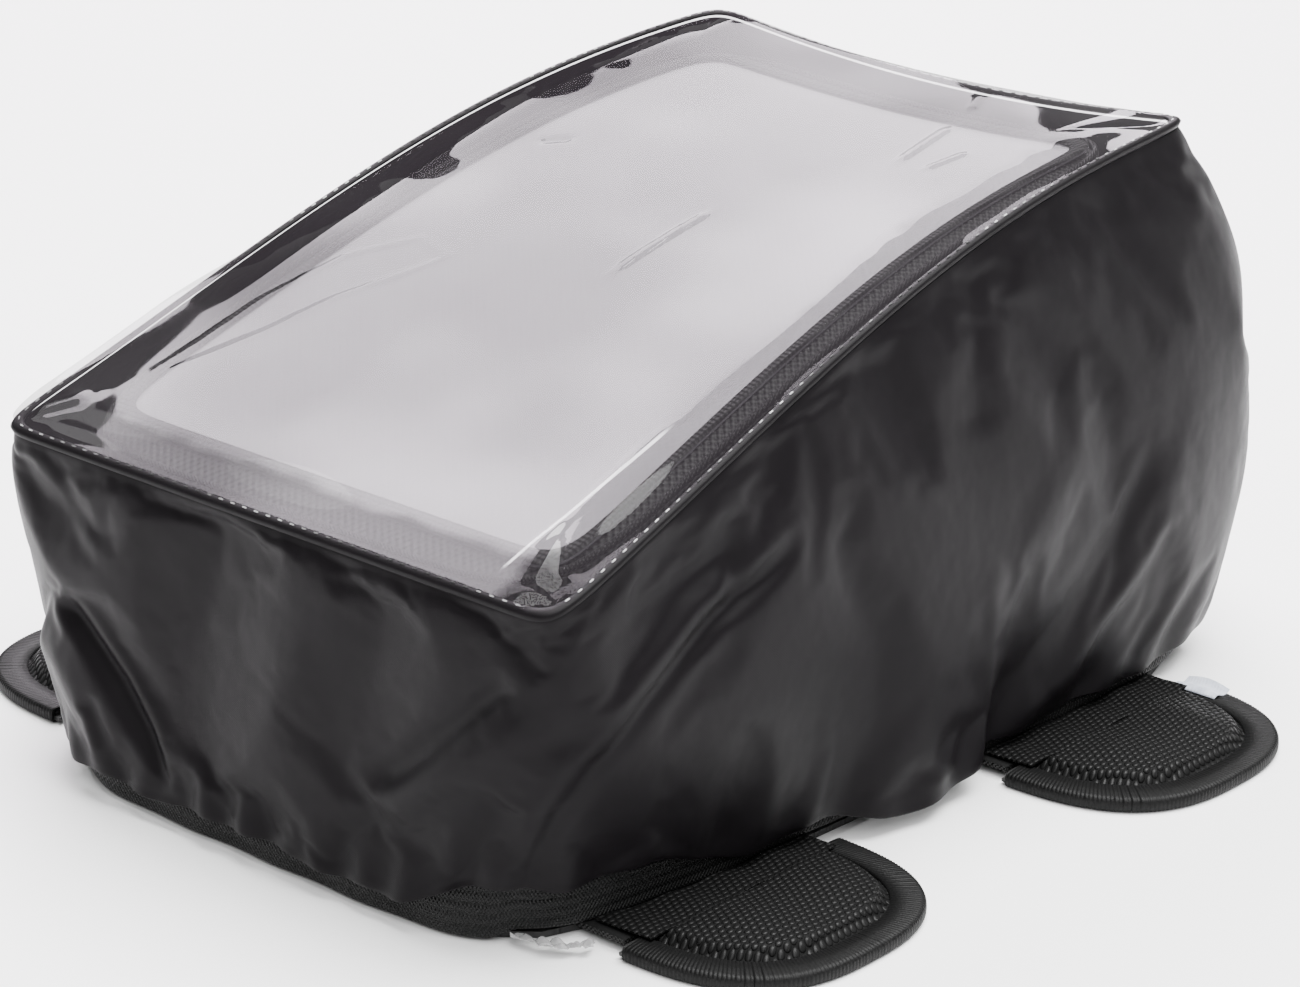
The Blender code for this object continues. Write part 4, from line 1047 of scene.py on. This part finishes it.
fall = np.maximum(fall, 1.0 - smooth((1.0 - s) / (0.24 + 0.015 * np.sin(y * 60.0))))
fall = np.maximum(fall, 0.30 * (1.0 - smooth((1.0 + t) / 0.16)))
fall = np.maximum(fall, 0.70 * (1.0 - smooth((1.0 - t) / 0.05)))
crown = FILM_CROWN * (1.0 - fall)
flat_points = np.stack((x.ravel(), y.ravel()), axis=1)
creases = raised(flat_points, film_creases).reshape(x.shape)
border = smooth((1.0 - np.abs(s)) / 0.05) * smooth((1.0 - np.abs(t)) / 0.04)
wavy = (0.00016 * np.sin(y * 300.0 + 2.0 * np.sin(y * 70.0))
        * np.exp(-((s - 0.86) / 0.07) ** 2) * smooth((y + 0.02) / 0.04))
broad = (0.0005 * np.sin(x * 44.0 + y * 30.0) * np.sin(y * 36.0 - 1.0)
         + 0.00012 * np.sin(x * 90.0 - y * 60.0))
film_z = top_height(x, y) + crown + (creases + wavy + broad) * border
film_top = np.stack((x, y, film_z), axis=2)
clear_vinyl = Finish("clear_vinyl", 0.05, Coat_Roughness=0.03, Coat_IOR=1.85, Alpha=0.5,
                     Specular_IOR_Level=0.0)
haze = clear_vinyl.noise(0.13, 2.0)
# painted highlight: a thin white line in the base colour, along one fold line by the pocket's right
# edge, stands in for the highlight on that crease
off_fold = (clear_vinyl.x - FOLD_X - clear_vinyl.y.sine(0.14) * 0.0008).math("ABSOLUTE")
fold_ends = clear_vinyl.y.held(-0.161, -0.155) * (1.0 - clear_vinyl.y.held(-0.098, -0.088))
painted_highlight_line = (1.0 - off_fold.held(0.0003, 0.0008)) * fold_ends
# base colour: near black, white along the painted highlight line, with a faint lift from the haze
clear_vinyl.drive("Base Color", clear_vinyl.tint(painted_highlight_line + haze * 0.02, (0.008, 0.006, 0.008),
                                                 (0.95, 0.92, 0.95)))
# painted shade: the film's coat, and with it its reflection, is turned down in bands along the
# sides and over the map pocket's front edge, painting the dark bands that the softbox's mirror
# image leaves where the film curves down at its edges
lobes = (clear_vinyl.noise(0.026, 1.0) - 0.5) * 0.085 + (clear_vinyl.noise(0.010) - 0.5) * 0.010
seam_half = WINDOW_HALF_FRONT - (clear_vinyl.y - WINDOW_FRONT_Y) * SEAM_TAPER
left_edge = (lobes + PAINTED_DARK_LEFT) * clear_vinyl.y.held(-0.11, -0.03)
painted_dark_left = 1.0 - (clear_vinyl.x + seam_half - left_edge).held(-0.0006, 0.0012)
painted_dark_right = ((1.0 - (seam_half - clear_vinyl.x - PAINTED_DARK_RIGHT - lobes * 0.25).held(-0.001, 0.006))
               * (1.0 - clear_vinyl.y.held(-0.02, 0.07)))
painted_dark_front = 1.0 - (clear_vinyl.y - WINDOW_FRONT_Y - PAINTED_DARK_FRONT
                     - lobes * 0.12).held(-0.0025, 0.0025)
coat_with_painted_dark = (haze.held(0.36, 0.64) * 0.62 + 0.38) * (1.0 - painted_dark_left * 0.95)
coat_with_painted_dark = coat_with_painted_dark * (1.0 - painted_dark_right * 0.75) * (1.0 - painted_dark_front * 0.55)
# coat weight: blotchy haze times the painted dark bands
clear_vinyl.drive("Coat Weight", coat_with_painted_dark)
clear_vinyl.drive("Roughness", haze * 0.12 + 0.02)
clear_vinyl.relief(clear_vinyl.noise(0.05, 0.0), 0.0006)
grid = np.arange(FILM_COLUMNS * FILM_ROWS).reshape(FILM_COLUMNS, FILM_ROWS)
film = add_piece("cover_window_film", film_top.reshape(-1, 3), quads(grid).tolist(), 80.0)
finish_piece(film, clear_vinyl, "rain_cover", ("cover_window",))

EDGE_WIDTH = 0.0024
EDGE_RISE = 0.0012
EDGE_POINTS = 900
around = []
for inset, rise in ((-0.0003, -0.0012), (-0.0007, 0.0), (-0.0003, 0.0008), (0.0007, EDGE_RISE),
                    (0.0017, EDGE_RISE), (EDGE_WIDTH, 0.0008), (EDGE_WIDTH, 0.0003)):
    x, y = window_ring(EDGE_POINTS, inset)
    around.append(np.stack((x, y, top_height(x, y) + rise), axis=1))
seam_edge = sweep("cover_seam_fold", np.stack(around, axis=1), True, 80.0)
finish_piece(seam_edge, satin_nylon, "rain_cover", ("cover_seam_edge",))

STITCH_PITCH = 0.005
STITCH_SIZE = (0.0017, 0.00045, 0.0005)
x, y = window_ring(EDGE_POINTS, EDGE_WIDTH / 2.0)
line = np.stack((x, y, top_height(x, y) + EDGE_RISE + 0.0001), axis=1)
places, along = evenly(line, STITCH_PITCH)
stitches = scatter("cover_seam_stitches", places, along, sideways(along), STITCH_SIZE)
seam_thread = Finish("seam_thread", 0.6)
seam_thread.drive("Base Color", seam_thread.tint(seam_thread.noise(0.05).held(0.45, 0.6),
                                                 grey(0.03), grey(0.5)))
finish_piece(stitches, seam_thread, "rain_cover")


# --- Vinyl edge under the band ----------------------------------------------------
# A crumpled end of the clear vinyl liner stands out from under the base at the low
# right corner, between the band and the flap.
LINER_SHOWS = 0.0045
LINER_PATH = np.array(((0.0905, -0.1600), (0.0990, -0.1585), (0.1050, -0.1560),
                       (0.1090, -0.1530), (0.1120, -0.1480)))
steps = np.linspace(0.0, 1.0, 60)
knots = np.linspace(0.0, 1.0, len(LINER_PATH))
base_x, base_y = (np.interp(steps, knots, LINER_PATH[:, axis]) for axis in range(2))
u, v = np.meshgrid(steps, np.linspace(0.0, 1.0, 9), indexing="ij")
crumple = 0.0011 * np.sin(u * 9.0 + v * 4.0) + 0.0006 * np.sin(u * 23.0 - v * 7.0)
px = base_x[:, None] + LINER_SHOWS * 0.6 * v + crumple * 0.5
py = base_y[:, None] - LINER_SHOWS * 0.8 * v - crumple * 0.5
pz = 0.0018 + 0.0010 * v + np.abs(crumple) * 1.1
sliver = shell("vinyl_liner_edge", np.stack((px, py, pz + 0.0004), axis=2),
               np.stack((px, py, pz), axis=2), sharp_deg=80.0)
liner_vinyl = Finish("liner_vinyl", 0.08, Coat_Weight=1.0, Alpha=0.7)
liner_vinyl.mottle(0.004, grey(0.12), grey(0.6))
liner_vinyl.relief(liner_vinyl.noise(0.002), 0.0004)
finish_piece(sliver, liner_vinyl, "bag")


# --- Studio -----------------------------------------------------------------------
# A pale floor and a large softbox high at the back left, whose mirror image lies in the
# window, with a small one beside it for the window's low end.  Two more light the skirt
# and the floor from the front right and from overhead, in a dim even room.
LAMP_AIM = (0.0, -0.02, 0.13)
FLOOR_HALF = 6.0
ROOM_STRENGTH = 0.55
LENS_MM = 124.6
CAMERA_PLACE = (0.8968, -0.9949, 0.5936)
CAMERA_AIM = (0.0123, -0.0139, 0.0752)


def light(name, place, size, watts, along=(1.0, 0.0, 0.0), colour=(1.0, 1.0, 1.0)):
    """Soft rectangular lamp that faces the bag, its long side along a direction."""
    back = (Vector(place) - Vector(LAMP_AIM)).normalized()
    side = (Vector(along) - back * back.dot(Vector(along))).normalized()
    lamp = bpy.data.lights.new(name, "AREA")
    lamp.shape = "RECTANGLE"
    lamp.size, lamp.size_y = size
    lamp.energy = watts
    lamp.color = colour
    holder = bpy.data.objects.new(name, lamp)
    turn = Matrix((side, back.cross(side), back)).transposed().to_4x4()
    holder.matrix_world = Matrix.Translation(place) @ turn
    bpy.context.scene.collection.objects.link(holder)


light("window_softbox", (-1.07, 0.79, 1.20), (1.85, 0.72), 58.0, along=(0.0, 0.45, -0.35),
      colour=(1.0, 0.91, 1.0))
light("low_end_softbox", (-1.14, -0.02, 1.40), (0.7, 0.6), 4.5)
light("front_softbox", (1.3, -1.1, 1.7), (1.6, 1.6), 40.0)
light("overhead_softbox", (0.3, 0.5, 2.4), (2.2, 2.2), 290.0)

paper = Finish("studio_paper", 0.85)
paper.mottle(0.5, grey(0.93), grey(0.95))
corners = np.array(((-1, -1, 0), (1, -1, 0), (1, 1, 0), (-1, 1, 0)), float) * FLOOR_HALF
floor = add_piece("studio_floor", corners - (0.0, 0.0, 0.0003), [[0, 1, 2, 3]])
floor.data.materials.append(paper.material)

room = bpy.data.worlds.new("room")
room.use_nodes = True
background = room.node_tree.nodes["Background"]
background.inputs["Color"].default_value = (0.8, 0.8, 0.8, 1.0)
background.inputs["Strength"].default_value = ROOM_STRENGTH
bpy.context.scene.world = room

lens = bpy.data.cameras.new("camera")
lens.lens = LENS_MM
lens.sensor_width = 36.0
lens.clip_start = 0.05
camera = bpy.data.objects.new("camera", lens)
camera.location = CAMERA_PLACE
away = Vector(CAMERA_PLACE) - Vector(CAMERA_AIM)
camera.rotation_euler = away.to_track_quat("Z", "Y").to_euler()
bpy.context.scene.collection.objects.link(camera)
bpy.context.scene.camera = camera
